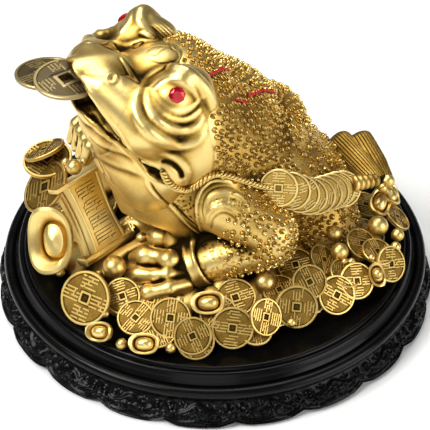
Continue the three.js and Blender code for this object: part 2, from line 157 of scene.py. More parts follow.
def grid_faces(rows, columns, wrap_rows=False, wrap_columns=False):
    """Four-cornered faces of a grid of points stored row by row. A wrapped way is closed on
    itself. They face out where the rows' way crossed with the columns' way points out."""
    row = np.arange(rows if wrap_rows else rows - 1)
    column = np.arange(columns if wrap_columns else columns - 1)
    r, c = np.meshgrid(row, column, indexing="ij")
    below, beside = (r + 1) % rows, (c + 1) % columns
    quads = [r * columns + c, below * columns + c, below * columns + beside, r * columns + beside]
    return np.stack(quads, -1).reshape(-1, 4)


def rounded(centre_radius, centre_height, radius, start, stop, count):
    """Points of a round moulding's profile, as radius and height, between two angles."""
    angle = np.radians(np.linspace(start, stop, count))
    return np.stack([centre_radius + radius * np.cos(angle), centre_height + radius * np.sin(angle)], 1)


def plinth_profile():
    """Radius and height of the turned profile, from the top's middle out and down to the foot,
    with each round moulding as an arc. Also the first row of the carved skirt."""
    edge = PLINTH_RADIUS
    parts = [
        [[0.0, DISC_HEIGHT], [DISC_RADIUS * 0.5, DISC_HEIGHT], [DISC_RADIUS, DISC_HEIGHT]],
        rounded(edge - 19.0, DISC_HEIGHT - 0.7, 1.6, 150, 10, 8),
        [[edge - 17.1, DISC_HEIGHT - 1.3]],
        rounded(edge - 15.6, DISC_HEIGHT - 2.4, 1.7, 140, 15, 8),
        rounded(edge - 4.2, DISC_HEIGHT - 0.6, 9.4, 196, 222, 7),
        [[edge - 11.4, DISC_HEIGHT - 8.6]],
        rounded(edge - 8.0, DISC_HEIGHT - 9.8, 3.4, 165, -50, 14),
        [[edge - 6.6, DISC_HEIGHT - 14.6]],
    ]
    mouldings = np.concatenate([np.asarray(part, float) for part in parts])
    down = np.linspace(0, 1, 50)
    radius = edge - 7.4 + 6.0 * np.sin(down**0.85 * math.pi * 0.62)
    height = (DISC_HEIGHT - 15.2) * (1 - down)
    return np.concatenate([mouldings, np.stack([radius, height], 1)]), len(mouldings)


def spiral(x, y, turns, reach):
    """Relief of a cloud curl: a rounded ridge along a spiral round the origin, dying at reach."""
    distance = np.hypot(x, y)
    angle = np.arctan2(y, x) / (2 * math.pi)
    wave = np.cos(2 * math.pi * (distance / reach * turns - angle))
    return (0.5 + 0.5 * wave) * np.clip((reach - distance) / (0.35 * reach), 0, 1)


def ridge(offset, width):
    """Relief of a rounded bar, from how far a point lies off the bar's middle line."""
    return np.exp(-((offset / width) ** 2))


def fan(x, y, blades, reach):
    """Relief of leaf blades that spread from the origin and die away at reach."""
    share = np.clip(np.hypot(x, y) / reach, 0, 1)
    return (0.5 + 0.5 * np.cos(np.arctan2(x, y) * blades)) * np.clip(1.5 * np.sin(math.pi * share), 0, 1)


def skirt_relief(angle, down):
    """How far the skirt's carving stands out, in millimetres, at an angle and a share of the way
    down. Each lobe swells, and carries a garland that climbs to a crest in its middle and ends in
    curls, leaf blades above and below the garland, and two long swags over a rolled foot."""
    lobe = angle * SKIRT_LOBES / (2 * math.pi)
    number = np.floor(lobe)
    side = 2 * (lobe - number) - 1
    broad = LOBE_RISE * (0.45 - side**2 + 0.15 * np.sin(number * 3.9)) * np.clip(down * 2.2, 0, 1)
    half = math.pi * PLINTH_RADIUS / SKIRT_LOBES
    skew = 1.6 * np.sin(number * 2.4) * (1 - side**2)
    x = np.abs(side * half - skew)
    y = down * SKIRT_FACE + 0.5 * np.cos(number * 1.7 + side)
    garland = 5.6 - 3.4 * ridge(x, 4.6) + 1.2 * ridge(x - 11, 3.0)
    swag = 10.6 + 2.4 * (1 - ((x - 9.5) / 9.5) ** 2)
    inside = np.clip((19.5 - x) / 2, 0, 1)
    parts = (
        # The garland, the curl at its end, and the crest's blades in its middle.
        ridge(y - garland, 0.95) * np.clip((15.5 - x) / 2, 0, 1),
        spiral(x - 17.0, y - 4.4, 1.8, 4.2),
        0.9 * fan(x, 6.2 - y, 7, 5.4) * (y < 6.2),
        # Leaves under its middle, under its shoulder and over its shoulder.
        0.8 * fan(x, y - 6.0, 9, 6.6) * (y > 6.0),
        0.8 * fan(x - 12.5, y - 7.2, 9, 5.0) * (y > 7.2),
        0.8 * fan(x - 8.5, 4.4 - y, 7, 3.6) * (y < 4.4),
        # Two small curls, the two swags and the rolled foot.
        0.7 * spiral(x - 6.5, y - 8.8, 1.6, 3.0),
        0.6 * spiral(x - 20.5, y - 10.5, 1.5, 3.4),
        0.9 * ridge(y - swag, 0.6) * inside,
        0.65 * ridge(y - swag - 1.9, 0.7) * inside,
        0.8 * ridge(y - 16.6, 0.9),
    )
    return broad + SCROLL_RISE * (np.max(parts, axis=0) - 0.45) * np.clip(down * 9, 0, 1)


def make_plinth(finish):
    """The turned profile swept round the axis, with four times as many points round the skirt. On
    the skirt each point moves out by the carving's relief, and the foot lifts between lobes. The
    top and the underside are fans from their middles."""
    segments = 320
    fine = 4 * segments
    profile, first = plinth_profile()
    around, fine_around = (np.linspace(0, 2 * math.pi, n, endpoint=False) for n in (segments, fine))
    a, row = np.meshgrid(around, np.arange(1, first), indexing="ij")
    mouldings = np.stack([profile[row, 0] * np.cos(a), profile[row, 0] * np.sin(a), profile[row, 1]], -1)
    a, row = np.meshgrid(fine_around, np.arange(first, len(profile)), indexing="ij")
    down = (row - first) / (len(profile) - 1 - first)
    radius = np.minimum(profile[row, 0] + skirt_relief(a, down), PLINTH_RADIUS - 0.02)
    between = np.clip(1 - 1.7 * np.abs(np.sin(a * SKIRT_LOBES / 2)), 0, 1)
    height = profile[row, 1] + FOOT_LIFT * between * down**3
    skirt = np.stack([radius * np.cos(a), radius * np.sin(a), height], -1)
    middles = np.array([[0, 0, DISC_HEIGHT], [0, 0, UNDERSIDE_RISE]])
    columns, skirt_columns = mouldings.shape[1], skirt.shape[1]
    start = segments * columns
    middle = start + fine * skirt_columns
    coarse, dense = np.arange(segments), np.arange(fine)
    after, dense_after = (coarse + 1) % segments, (dense + 1) % fine
    rim = coarse * columns + columns - 1
    hem = start + dense * skirt_columns
    foot = hem + skirt_columns - 1
    faces = [
        grid_faces(segments, columns, wrap_rows=True)[:, ::-1],
        start + grid_faces(fine, skirt_columns, wrap_rows=True)[:, ::-1],
        np.stack([np.full(segments, middle), coarse * columns, after * columns], 1),
        np.stack([np.repeat(rim, 4), hem, hem[dense_after]], 1),
        np.stack([rim, hem[after * 4], rim[after]], 1),
        np.stack([np.full(fine, middle + 1), foot[dense_after], foot], 1),
    ]
    points = np.concatenate([mouldings.reshape(-1, 3), skirt.reshape(-1, 3), middles])
    return make_piece("carved_plinth", points, faces, finish, 50)


lacquer, tree, output = new_finish("gloss black lacquer")
place = add(tree, "ShaderNodeTexCoord")
# Dust and wear are about 20 mm across, and brush ripple in the lacquer is about 3 mm.
wear = add(tree, "ShaderNodeTexNoise", {"Vector": place.outputs["Object"], "Scale": 50.0, "Detail": 4.0})
dulled = add(
    tree,
    "ShaderNodeMapRange",
    {"Value": wear.outputs["Fac"], "From Min": 0.35, "From Max": 0.7, "To Min": 0.2, "To Max": 0.34},
)
ripple = add(tree, "ShaderNodeTexNoise", {"Vector": place.outputs["Object"], "Scale": 330.0})
bump = add(
    tree,
    "ShaderNodeBump",
    {"Height": ripple.outputs["Fac"], "Strength": 0.08, "Distance": 0.0003},
)
# The flat top, inside the bead, is rubbed down and hardly shines.
out = add(tree, "ShaderNodeVectorMath", {"Vector": place.outputs["Object"]}, operation="LENGTH")
sheen = add(
    tree,
    "ShaderNodeMapRange",
    {"Value": out.outputs["Value"], "From Min": 0.1165, "From Max": 0.119, "To Min": 0.03, "To Max": 0.14},
)
shader = add(
    tree,
    "ShaderNodeBsdfPrincipled",
    {
        "Base Color": linear("#060606"),
        "Roughness": dulled.outputs["Result"],
        "Specular IOR Level": sheen.outputs["Result"],
        "Normal": bump.outputs["Normal"],
    },
)
tree.links.new(shader.outputs["BSDF"], output.inputs["Surface"])
carved_plinth = make_plinth(lacquer)
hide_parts("plinth")

# The heap. One low mound of brass under everything, part of the same hollow casting as the toad:
# its top is lumpy where coins lie half buried, and it climbs to a knoll at the toad's right hand.
# It is gilded like the rest: satin gold on what stands out and brown patina in the hollows, and
# the whole mound is toned deeper still, a painted shade where it lies under the coins.
HEAP_RADIUS = 108.9
HEAP_RISE = 27.0
HEAP_FOOT = 31.5
HEAP_VOXEL = 1.8
SKIN_STEP = 4
FIELD_BATCH = 300000


def ball(p, centre, radii, turn=None):
    """Distance to an ellipsoid, near enough for blending: the scaled length times itself less
    one, over the length of its slope."""
    q = p - np.array(centre, np.float32)[:, None]
    if turn is not None:
        q = turn.T @ q
    size = np.array(radii, np.float32)[:, None]
    scaled = q / size
    near = np.sqrt((scaled**2).sum(0))
    slope = np.sqrt(((scaled / size) ** 2).sum(0))
    return near * (near - 1) / np.maximum(slope, 1e-6)


def bar(p, start, stop, first, last):
    """Distance to a bar that tapers between two round ends."""
    a, b = np.array(start, np.float32), np.array(stop, np.float32)
    q, along = p - a[:, None], b - a
    share = np.clip(along @ q / (along @ along), 0, 1)
    return np.sqrt(((q - along[:, None] * share) ** 2).sum(0)) - (first + (last - first) * share)


def merge(a, b, reach):
    """The nearer of two distances, with a fillet of about that reach where they are alike."""
    near = np.maximum(reach - np.abs(a - b), 0) / reach
    return np.minimum(a, b) - near**2 * reach / 4


def carve(a, b, reach):
    """What is left of the first form when the second is cut away, with a rounded edge."""
    return -merge(-a, b, reach)


def turned(axis, degrees):
    """The matrix that turns about X, Y or Z (0, 1 or 2)."""
    c, s = math.cos(math.radians(degrees)), math.sin(math.radians(degrees))
    matrix = np.eye(3)
    one, two = (axis + 1) % 3, (axis + 2) % 3
    matrix[one, one], matrix[one, two], matrix[two, one], matrix[two, two] = c, -s, s, c
    return matrix.astype(np.float32)


def mound(p):
    """The heap's own skin: a shallow bowl turned over, lumps a few millimetres high from three
    crossed waves, a wavy foot, a knoll, and a hollow under the plaque's foot."""
    x, y, z = p
    radius = np.hypot(x, y)
    angle = np.arctan2(y, x)
    lumps = 0.5 * np.sin(x * 0.31 + 1.3) * np.sin(y * 0.27) + 0.5 * np.sin((x + y) * 0.19 + 0.4)
    foot = HEAP_RADIUS - 15 - 2 * np.sin(angle * 9 + 0.6) - np.sin(angle * 23)
    top = HEAP_FOOT + HEAP_RISE * (1 - (radius / foot) ** 3) + lumps
    d = (z - top) * 0.85
    d = merge(d, ball(p, (-56, -38, 44), (27, 33, 40)), 8)
    d = carve(d, bar(p, (9, -90, 56), (-1, -59, 57), 10.5, 9.5), 3)
    return np.maximum(d, HEAP_FOOT - 0.25 - z)


def moulded(field, low, high, voxel):
    """Points and outward four-cornered faces where a field of distances is zero. The field is
    tried once in every block of voxels, and in full only in blocks that the skin may cross."""
    low, block = np.array(low, float), voxel * SKIN_STEP
    counts = np.ceil((np.array(high) - low) / block).astype(int)
    starts = np.stack(np.meshgrid(*[np.arange(n) for n in counts], indexing="ij"), -1).reshape(-1, 3)
    centres = (low + (starts + (SKIN_STEP - 1) / (2 * SKIN_STEP)) * block).T.astype(np.float32)
    coarse = field(centres)
    near = np.abs(coarse) < block * 1.5 + 1
    limit = 3 * voxel
    values = np.repeat(np.clip(coarse, -limit, limit), SKIN_STEP**3).reshape(-1, SKIN_STEP**3)
    inner = np.stack(np.meshgrid(*[np.arange(SKIN_STEP)] * 3, indexing="ij"), -1).reshape(-1, 3)
    corners = starts[near, None] * SKIN_STEP + inner
    points = (low + corners.reshape(-1, 3) * voxel).T.astype(np.float32)
    parts = np.array_split(np.arange(points.shape[1]), max(1, points.shape[1] // FIELD_BATCH))
    fine = np.concatenate([field(points[:, part]) for part in parts])
    values[near] = np.clip(fine, -limit, limit).reshape(-1, SKIN_STEP**3)
    shape = tuple(counts)
    block_values = values.reshape(shape + (SKIN_STEP,) * 3).transpose(0, 3, 1, 4, 2, 5)
    volume = openvdb.FloatGrid(background=limit)
    whole = block_values.reshape([n * SKIN_STEP for n in counts])
    volume.copyFromArray(np.ascontiguousarray(whole, np.float32))
    made, quads = volume.convertToQuads(isovalue=0.0)
    return low + made.astype(float) * voxel, quads.astype(np.int64)


def outward(field, points):
    """Unit normals of a field at points, one a row, from its differences half a unit apart."""
    p = points.T.astype(np.float32)
    step = np.float32(0.5)
    slope = []
    for axis in range(3):
        shift = np.zeros((3, 1), np.float32)
        shift[axis] = step
        slope.append(field(p + shift) - field(p - shift))
    normal = np.stack(slope, 1)
    return normal / np.maximum(np.linalg.norm(normal, axis=1, keepdims=True), 1e-9)


def settle(points, faces, rounds):
    """Points moved to the middle of their neighbours, again and again."""
    pairs = np.concatenate([np.stack([f, np.roll(f, -1, 1)], -1).reshape(-1, 2) for f in faces])
    one, two = pairs[:, 0], pairs[:, 1]
    count = np.bincount(one, minlength=len(points)) + np.bincount(two, minlength=len(points))
    for _ in range(rounds):
        moved = [
            np.bincount(one, points[two, i], len(points)) + np.bincount(two, points[one, i], len(points))
            for i in range(3)
        ]
        points = np.stack(moved, 1) / np.maximum(count, 1)[:, None]
    return points


def tone_hollows(piece, points, faces, fine=4, broad=40, depth=0.0, sharp=2.6):
    """Stores how hollow the skin is at each point, from 0 on a crest to 1 in a crease: how far
    the point lies under its own neighbourhood, near and wide. The brown toned from it is patina in
    the creases, and painted shade as well in broad deep recesses."""
    normals = np.zeros(len(points) * 3, np.float32)
    piece.data.vertices.foreach_get("normal", normals)
    normals = normals.reshape(-1, 3)
    near = ((settle(points, faces, fine) - points) * normals).sum(1)
    wide = ((settle(points, faces, broad) - points) * normals).sum(1)
    hollow = np.clip(0.35 + near * sharp + wide * 0.55 + depth, 0, 1)
    layer = piece.data.attributes.new("hollow", "FLOAT", "POINT")
    layer.data.foreach_set("value", hollow.astype(np.float32))


def gilt_finish(name, stipple, smooth=0.4):
    """Gilt brass for skins with their hollows stored: the tone runs from pale gold on crests to
    brown in hollows, patina with painted shade in the deep ones, and drifts over patches of about
    12 mm. The cast grain is about 0.6 mm."""
    finish, tree, output = new_finish(name)
    place = add(tree, "ShaderNodeTexCoord")
    hollow = add(tree, "ShaderNodeAttribute", attribute_name="hollow")
    at = place.outputs["Object"]
    patch = add(tree, "ShaderNodeTexNoise", {"Vector": at, "Scale": 85.0, "Detail": 5.0})
    grain = add(tree, "ShaderNodeTexNoise", {"Vector": at, "Scale": 1600.0, "Detail": 2.0})
    drift = add(tree, "ShaderNodeMath", {0: patch.outputs["Fac"], 1: 0.5}, operation="SUBTRACT")
    deeper = add(
        tree,
        "ShaderNodeMath",
        {0: drift.outputs[0], 1: 0.35, 2: hollow.outputs["Fac"]},
        operation="MULTIPLY_ADD",
    )
    speck = add(tree, "ShaderNodeMath", {0: grain.outputs["Fac"], 1: 0.5}, operation="SUBTRACT")
    flecked = add(
        tree,
        "ShaderNodeMath",
        {0: speck.outputs[0], 1: 0.3, 2: deeper.outputs[0]},
        operation="MULTIPLY_ADD",
    )
    tone = add(tree, "ShaderNodeValToRGB", {"Fac": flecked.outputs[0]})
    ramp = tone.color_ramp
    while len(ramp.elements) < len(TONES):
        ramp.elements.new(0.5)
    for stop, (position, code) in zip(ramp.elements, TONES):
        stop.position, stop.color = position, linear(code)
    rough = add(
        tree,
        "ShaderNodeMapRange",
        {"Value": deeper.outputs[0], "From Min": 0.1, "From Max": 0.9, "To Min": smooth, "To Max": 0.62},
    )
    rougher = add(
        tree,
        "ShaderNodeMath",
        {0: hollow.outputs["Fac"], 1: stipple, 2: 0.06},
        operation="MULTIPLY_ADD",
    )
    bump = add(
        tree,
        "ShaderNodeBump",
        {"Height": grain.outputs["Fac"], "Strength": rougher.outputs[0], "Distance": 0.0003},
    )
    shader = add(
        tree,
        "ShaderNodeBsdfPrincipled",
        {
            "Base Color": tone.outputs["Color"],
            "Metallic": 1.0,
            "Roughness": rough.outputs["Result"],
            "Normal": bump.outputs["Normal"],
        },
    )
    tree.links.new(shader.outputs["BSDF"], output.inputs["Surface"])
    return finish


TONES = [(0.05, "#efd488"), (0.3, "#d2ae5c"), (0.5, "#a27f38"), (0.7, "#5c461c"), (0.92, "#211808")]
gilt = gilt_finish("satin gilt brass", 0.1)
struck = gilt_finish("gilt brass with a stippled field", 1.1)
burnished = gilt_finish("burnished gilt brass", 0.0, 0.24)

points, quads = moulded(mound, (-112, -112, 30), (112, 112, 88), HEAP_VOXEL)
heap_mound = make_piece("heap_mound", points, [quads], gilt)
# Painted shade: the whole mound is toned deeper, as it lies under and between the coins.
tone_hollows(heap_mound, points, [quads], depth=0.42)
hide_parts("toad_figure")

# The toad's body. It is part of the same casting: its masses run into one another as modelled wax
# does, and folds are pressed and raised along lines on the skin. The far half is cut coarser than
# the near one, and the two overlap in a band where each sinks a little under the other.
NEAR_VOXEL = 0.85
FAR_VOXEL = 1.45
STRETCHES = 8
LAP = 19.5
LAP_WIDTH = 6
LAP_SLOPE = 0.15
SIGHT_START = 950.0
SIGHT_END = 1300.0
SIGHT_LIMIT = 1500.0
SIGHT_STEPS = 160
PIT_RADIUS = 0.6
PIT_DEPTH = 0.27
PIT_BATCH = 4000


def hoop(p, centre, axis, radius, thickness):
    """Distance to a ring of round section about an axis."""
    q = p - np.array(centre, np.float32)[:, None]
    axis = np.array(axis, np.float32) / np.linalg.norm(axis)
    rise = axis @ q
    out = np.sqrt(np.maximum((q**2).sum(0) - rise**2, 0))
    return np.hypot(out - radius, rise) - thickness


def folded(p):
    """Points carried to the toad's left side."""
    return np.stack([np.abs(p[0]), p[1], p[2]])


def trunk(p):
    """Chest, back, rump and thighs: a thick bar, wider than it is deep, inside blended balls. A
    hollow is cut under the throat, behind the fingers."""
    s = folded(p)
    slim = p * np.array([[1 / 1.3], [1], [1]], np.float32)
    spine = bar(slim, (0, -25.8, 140), (0, 49.2, 58.4), 37.4, 35.2)
    chest = ball(p, (0, -28, 97.5), (43, 37, 56))
    flanks = ball(p, (0, 14, 73.5), (54, 40, 34))
    shoulders = ball(p, (0, -1.5, 124), (35, 38, 30))
    hump = ball(p, (0, 40, 112), (25, 16, 16))
    thighs = ball(s, (31, 46, 46.5), (22, 32, 24))
    under_throat = ball(s, (24, -52, 60), (26, 24, 17))
    d = merge(merge(merge(spine, chest, 10), flanks, 20), shoulders, 10)
    return carve(merge(merge(d, hump, 10), thighs, 14), under_throat, 5)


def at_height(pixel, height):
    """The point of a sight line at a height above the table."""
    ray = sight_lines([pixel])[:, 0]
    return eye + ray * (height - eye[2]) / ray[2]


# Each finger is drawn in the picture from its knuckle over its swollen joint to its nail, with the
# height and the half thickness of each.
FINGERS = [
    [
        (186, 246, 62, 5.2), (175, 240, 64, 6.4), (167, 238, 63, 4.9), (160, 237.5, 62, 6.4),
        (152.5, 236, 58, 4.0),
    ],
    [
        (184, 260, 58, 5.2), (169, 260, 60, 6.1), (158, 256.5, 59.5, 4.7), (146, 255.5, 58, 6.3),
        (134, 257, 51, 3.4),
    ],
    [
        (183, 275, 53, 4.6), (168, 274.5, 54.5, 5.4), (157, 275, 54, 4.1), (140, 274, 51, 5.1),
        (131, 276, 46, 3.4),
    ],
    [
        (186, 284, 50, 4.8), (170, 288, 51, 5.1), (160, 290.5, 50, 3.9), (149, 292.5, 48, 5.0),
        (137, 295.5, 43, 2.9),
    ],
]
PALM_TOP = at_height((184, 250), 58)
PALM_FOOT = at_height((188, 280), 48)
PALM_HEEL = at_height((187, 263), 54)
# The double cuff: how far along the arm each of its hoops lies, its radius and its half thickness.
CUFFS = [(-2.6, 13.2, 1.0), (-1.3, 12.2, 1.5), (0, 12.2, 1.5), (1.3, 12.2, 1.5), (2.9, 13.3, 1.0)]
CUFF_MIDDLE = np.array((45.4, -29, 55))
CUFF_WAY = np.array((0.37, 0.79, 0.49))
WRIST_AXIS = (15, 32, 20)


def left_arm(p):
    """Shoulder, forearm, double wrist cuff, palm and fingers."""
    d = bar(p, (43, -14, 95), (61, 8, 80), 18, 15.5)
    d = merge(d, bar(p, (63, 8, 74), (48, -24, 57), 14, 12), 3)
    for along, radius, thickness in CUFFS:
        d = merge(d, hoop(p, CUFF_MIDDLE + along * CUFF_WAY, WRIST_AXIS, radius, thickness), 1)
    hand = bar(p, PALM_TOP, PALM_FOOT, 8.5, 8)
    hand = merge(hand, bar(p, PALM_HEEL, (47, -25, 56), 10, 11), 6)
    for finger in FINGERS:
        whole = None
        for one, two in zip(finger[:-1], finger[1:]):
            bone = bar(p, at_height(one[:2], one[2]), at_height(two[:2], two[2]), one[3], two[3])
            whole = bone if whole is None else merge(whole, bone, 2)
        hand = merge(hand, whole, 1.8)
    return merge(d, hand, 2.5)


def right_arm(p):
    """The arm on the far side, which reaches out to a hand on the heap's high corner."""
    d = bar(p, (-44, -10, 93), (-68, 4, 90), 17, 15)
    d = merge(d, bar(p, (-69, 6, 90), (-68, -42, 83), 15, 11), 8)
    d = merge(d, ball(p, (-69, -48, 80), (12, 12, 9)), 5)
    for i in range(4):
        x = -80 + 8 * i
        knuckle, joint, nail = (x + 1, -52, 84 - i), (x + 2, -59, 80), (x + 3, -64, 70)
        finger = merge(bar(p, knuckle, joint, 4.4, 4.8), bar(p, joint, nail, 4.8, 3.2), 1.5)
        d = merge(d, finger, 1.6)
    return d


def body(p):
    """Trunk and forelimbs as one skin."""
    return merge(merge(trunk(p), left_arm(p), 9), right_arm(p), 9)


def near_half(p):
    """The body on the near side of the lap. Past it the skin sinks under the far half's, and ends."""
    return np.maximum(body(p) + LAP_SLOPE * np.clip(LAP - p[0], 0, None), LAP - LAP_WIDTH - p[0])


def far_half(p):
    """The body on the far side of the lap. Past it the skin sinks under the near half's, and ends."""
    return np.maximum(body(p) + LAP_SLOPE * np.clip(p[0] - LAP, 0, None), p[0] - LAP - LAP_WIDTH)


def on_skin(field, pixels):
    """Where sight lines through points of the picture first meet a field's skin, one a row. Each
    line is walked by the distance that the field gives until that is nearly nothing, and one that
    passes by takes its neighbours' length."""
    rays = sight_lines(pixels)
    gone = np.full(rays.shape[1], SIGHT_START)
    for _ in range(SIGHT_STEPS):
        gone += 0.85 * field((eye[:, None] + rays * gone).astype(np.float32))
        gone = np.minimum(gone, SIGHT_LIMIT)
    met = gone < SIGHT_END
    order = np.arange(len(gone))
    gone = np.interp(order, order[met], gone[met]) if met.any() else gone
    return (eye[:, None] + rays * gone).T


def smoothed(points, spacing):
    """A polyline made round and even: a spline through the points, sampled about every spacing."""
    points = np.asarray(points, float)
    if len(points) > 2:
        ends = 2 * points[:1] - points[1:2], 2 * points[-1:] - points[-2:-1]
        p = np.concatenate([ends[0], points, ends[1]])
        t = np.linspace(0, 1, 12, endpoint=False)[None, :, None]
        a, b, c, d = (p[i : len(p) - 3 + i, None] for i in range(4))
        bend, twist = 2 * a - 5 * b + 4 * c - d, 3 * b - a - 3 * c + d
        curve = 0.5 * (2 * b + (c - a) * t + bend * t**2 + twist * t**3)
        points = np.concatenate([curve.reshape(-1, points.shape[1]), points[-1:]])
    length = np.concatenate([[0], np.cumsum(np.linalg.norm(np.diff(points, axis=0), axis=1))])
    at = np.linspace(0, length[-1], max(3, int(length[-1] / spacing) + 1))
    return np.stack([np.interp(at, length, points[:, i]) for i in range(points.shape[1])], 1)


def pressed(kind, offset, width):
    """The section across a line of relief, 1 at its height: a ridge, a groove, or a lip, which
    drops into a crease on one side and falls away slowly on the other."""
    across_line = offset / width
    if kind == "ridge":
        return np.exp(-(across_line**2))
    if kind == "groove":
        return -np.exp(-(across_line**2))
    inside = np.clip(across_line, 0, None)
    rise = (1 - np.exp(-4 * inside**2)) * np.exp(-0.5 * inside) * 1.3
    return np.where(across_line > 0, rise, 0) - 0.55 * np.exp(-((across_line * 1.6) ** 2))


def relief(field, points, normals, lines, mirrored=False):
    """How far each point of a skin is pressed in or raised by lines drawn on it in the picture.
    The nearest stretch of a line gives a point's offset, and the section fades at both ends. Each
    line is taken a few stretches at a time, with the points that lie near them."""
    sides = np.where(points[:, 0] < 0, -1, 1)[:, None] * [1, 0, 0] + [0, 1, 1] if mirrored else 1
    p, n = points * sides, normals * sides
    total = np.zeros(len(p))
    paths = [smoothed(pixels, 3.0) for _, _, _, pixels in lines]
    ends = np.cumsum([0] + [len(path) for path in paths])
    found = on_skin(field, np.concatenate(paths)) if paths else None
    for index, (kind, width, rise, _) in enumerate(lines):
        path = smoothed(found[ends[index] : ends[index + 1]], 1.2)
        if mirrored:
            path[:, 0] = np.abs(path[:, 0])
        margin = width * (6 if kind == "lip" else 2.6)
        nearest = np.full(len(p), np.inf)
        offset, along = np.zeros(len(p)), np.zeros(len(p))
        steps = len(path) - 1
        for first in range(0, steps, STRETCHES):
            bit = path[first : first + STRETCHES + 1]
            inside = np.flatnonzero(((p > bit.min(0) - margin) & (p < bit.max(0) + margin)).all(1))
            if not len(inside):
                continue
            begin, step = bit[:-1], np.diff(bit, axis=0)
            q = p[inside, None] - begin
            share = np.clip((q * step).sum(-1) / np.maximum((step**2).sum(-1), 1e-9), 0, 1)
            gap = q - share[..., None] * step
            distance = np.sqrt((gap**2).sum(-1))
            best = distance.argmin(1)
            row = np.arange(len(inside))
            near = distance[row, best]
            better = near < nearest[inside]
            inside, best, row, near = inside[better], best[better], row[better], near[better]
            tangent = step[best] / np.maximum(np.linalg.norm(step[best], axis=1, keepdims=True), 1e-9)
            side = np.sign((np.cross(n[inside], tangent) * gap[row, best]).sum(1))
            nearest[inside] = near
            offset[inside] = side * near
            along[inside] = (first + best + share[row, best]) / steps
        touched = np.isfinite(nearest)
        fade = np.clip(along / 0.14, 0, 1) * np.clip((1 - along) / 0.14, 0, 1)
        fade = fade * fade * (3 - 2 * fade)
        total[touched] += (rise * fade * pressed(kind, offset, width))[touched]
    return total


def dents(points, centres, radius, depth):
    """How far each point sinks into round pits: a bell curve about each centre."""
    total = np.zeros(len(points))
    low, high = centres.min(0) - 3 * radius, centres.max(0) + 3 * radius
    near = np.flatnonzero(((points > low) & (points < high)).all(1))
    for part in np.array_split(near, max(1, len(near) // PIT_BATCH)):
        gap = ((points[part, None] - centres) ** 2).sum(-1)
        total[part] -= depth * np.exp(-gap / radius**2).max(1)
    return total


def make_skin(name, field, low, high, voxel, lines, mirrored_lines=(), pits=None, **tones):
    """A skin round a field, with its lines of relief and its pits, and the hollows toned."""
    points, quads = moulded(field, low, high, voxel)
    normals = outward(field, points)
    raised = relief(field, points, normals, lines)
    raised += relief(field, points, normals, mirrored_lines, mirrored=True)
    if pits is not None:
        raised += dents(points, pits, PIT_RADIUS, PIT_DEPTH)
    points = points + normals * raised[:, None]
    piece = make_piece(name, points, [quads], gilt)
    tone_hollows(piece, points, [quads], **tones)
    return piece, points, quads


def shade(piece, points, amount):
    """Deepens the stored hollows by an amount at each point and normal: painted shade, and toning
    that gathers.
    """
    normals, values = np.zeros(points.size, np.float32), np.zeros(len(points), np.float32)
    piece.data.vertices.foreach_get("normal", normals)
    layer = piece.data.attributes["hollow"]
    layer.data.foreach_get("value", values)
    layer.data.foreach_set("value", values + amount(points, normals.reshape(-1, 3)).astype(np.float32))


# The shoulder's flame scroll, the seam of the collar, and the edge of the back over the rump: the
# kind of line, its half width and its rise in millimetres, and its points in the picture.
SCROLLS = [
    ("ridge", 0.9, 0.6, [
        (203, 234), (198, 221), (197, 206), (200, 194), (206, 186), (214, 181), (226, 181), (239, 185),
    ]),
    ("groove", 0.6, 0.25, [(204, 222), (203, 208), (206, 197), (213, 190), (226, 187), (238, 190)]),
    ("ridge", 0.7, 0.5, [
        (205, 207), (209, 198), (218, 193), (231, 192), (241, 196), (247, 204), (250, 213),
    ]),
    ("groove", 0.8, 0.25, [(208, 208), (213, 201), (221, 198), (231, 198), (241, 203)]),
    ("ridge", 0.7, 0.55, [
        (207, 228), (208, 216), (213, 209), (223, 205), (231, 207), (238, 213), (246, 218), (255, 218),
    ]),
    ("groove", 0.9, 0.3, [(211, 230), (214, 219), (222, 213), (231, 215), (239, 222)]),
    ("ridge", 0.8, 0.6, [(150, 182), (157, 194), (166, 201), (178, 214), (191, 227), (206, 237)]),
    ("groove", 0.7, 0.45, [(156, 184), (164, 194), (176, 206), (189, 219), (202, 229)]),
    ("ridge", 1.3, 1.0, [(312, 112), (321, 125), (330, 141), (333, 150)]),
]
rng = np.random.default_rng(7)


def speckle(count, *corners):
    """Random points of the picture in a four-cornered region: shares across and down mix its
    corners."""
    across_share, down_share = rng.random((2, count, 1))
    a, b, c, d = (np.array(corner, float) for corner in corners)
    return (a + (b - a) * across_share) * (1 - down_share) + (d + (c - d) * across_share) * down_share


# The skin is pitted on the elbow, inside the scroll and on the breast: how many pits each region
# has, and its corners in the picture.
PITTED = [
    (140, (203, 243), (246, 244), (262, 272), (205, 285)),
    (35, (214, 199), (238, 199), (246, 206), (214, 206)),
    (40, (170, 195), (190, 190), (203, 226), (180, 210)),
]
pits = on_skin(near_half, np.concatenate([speckle(*region) for region in PITTED]))
low, high = (12, -84, 28), (98, 100, 182)
near_skin = make_skin("toad_near_half", near_half, low, high, NEAR_VOXEL, SCROLLS, pits=pits, sharp=1.9)
low, high = (-98, -84, 28), (27, 100, 182)
far_skin = make_skin("toad_far_half", far_half, low, high, FAR_VOXEL, [], SCROLLS[-1:])

# The head. Wide jaws under a blunt snout, with the mouth cut between the lips. The brows stand up
# as hoods over the eyes, and the lids and the bags under them are soft rolls that spring from the
# eye's inner corner. All of it is the same casting, and the nape ends in a rounded edge.
HEAD_VOXEL = 0.8

# The lips, as heights over the half width of the mouth. They meet about 40 mm out, and part again
# in a pocket at each corner, which is cut along a line of the picture.
LIP_WIDTHS = [0, 5, 10, 20, 30, 35, 40, 45, 52]
UPPER_LIP = [187, 184.5, 181, 170, 155, 144.5, 131, 119, 110]
LIP_EDGE = [-88, -87.5, -86, -80, -73, -66, -57, -44, -36]
POCKET = [(146, 165), (153, 171), (161, 176), (169, 182)]
LOWER_LIP = [158, 159, 160, 154.5, 146.5, 140, 131.5, 123.5, 120]

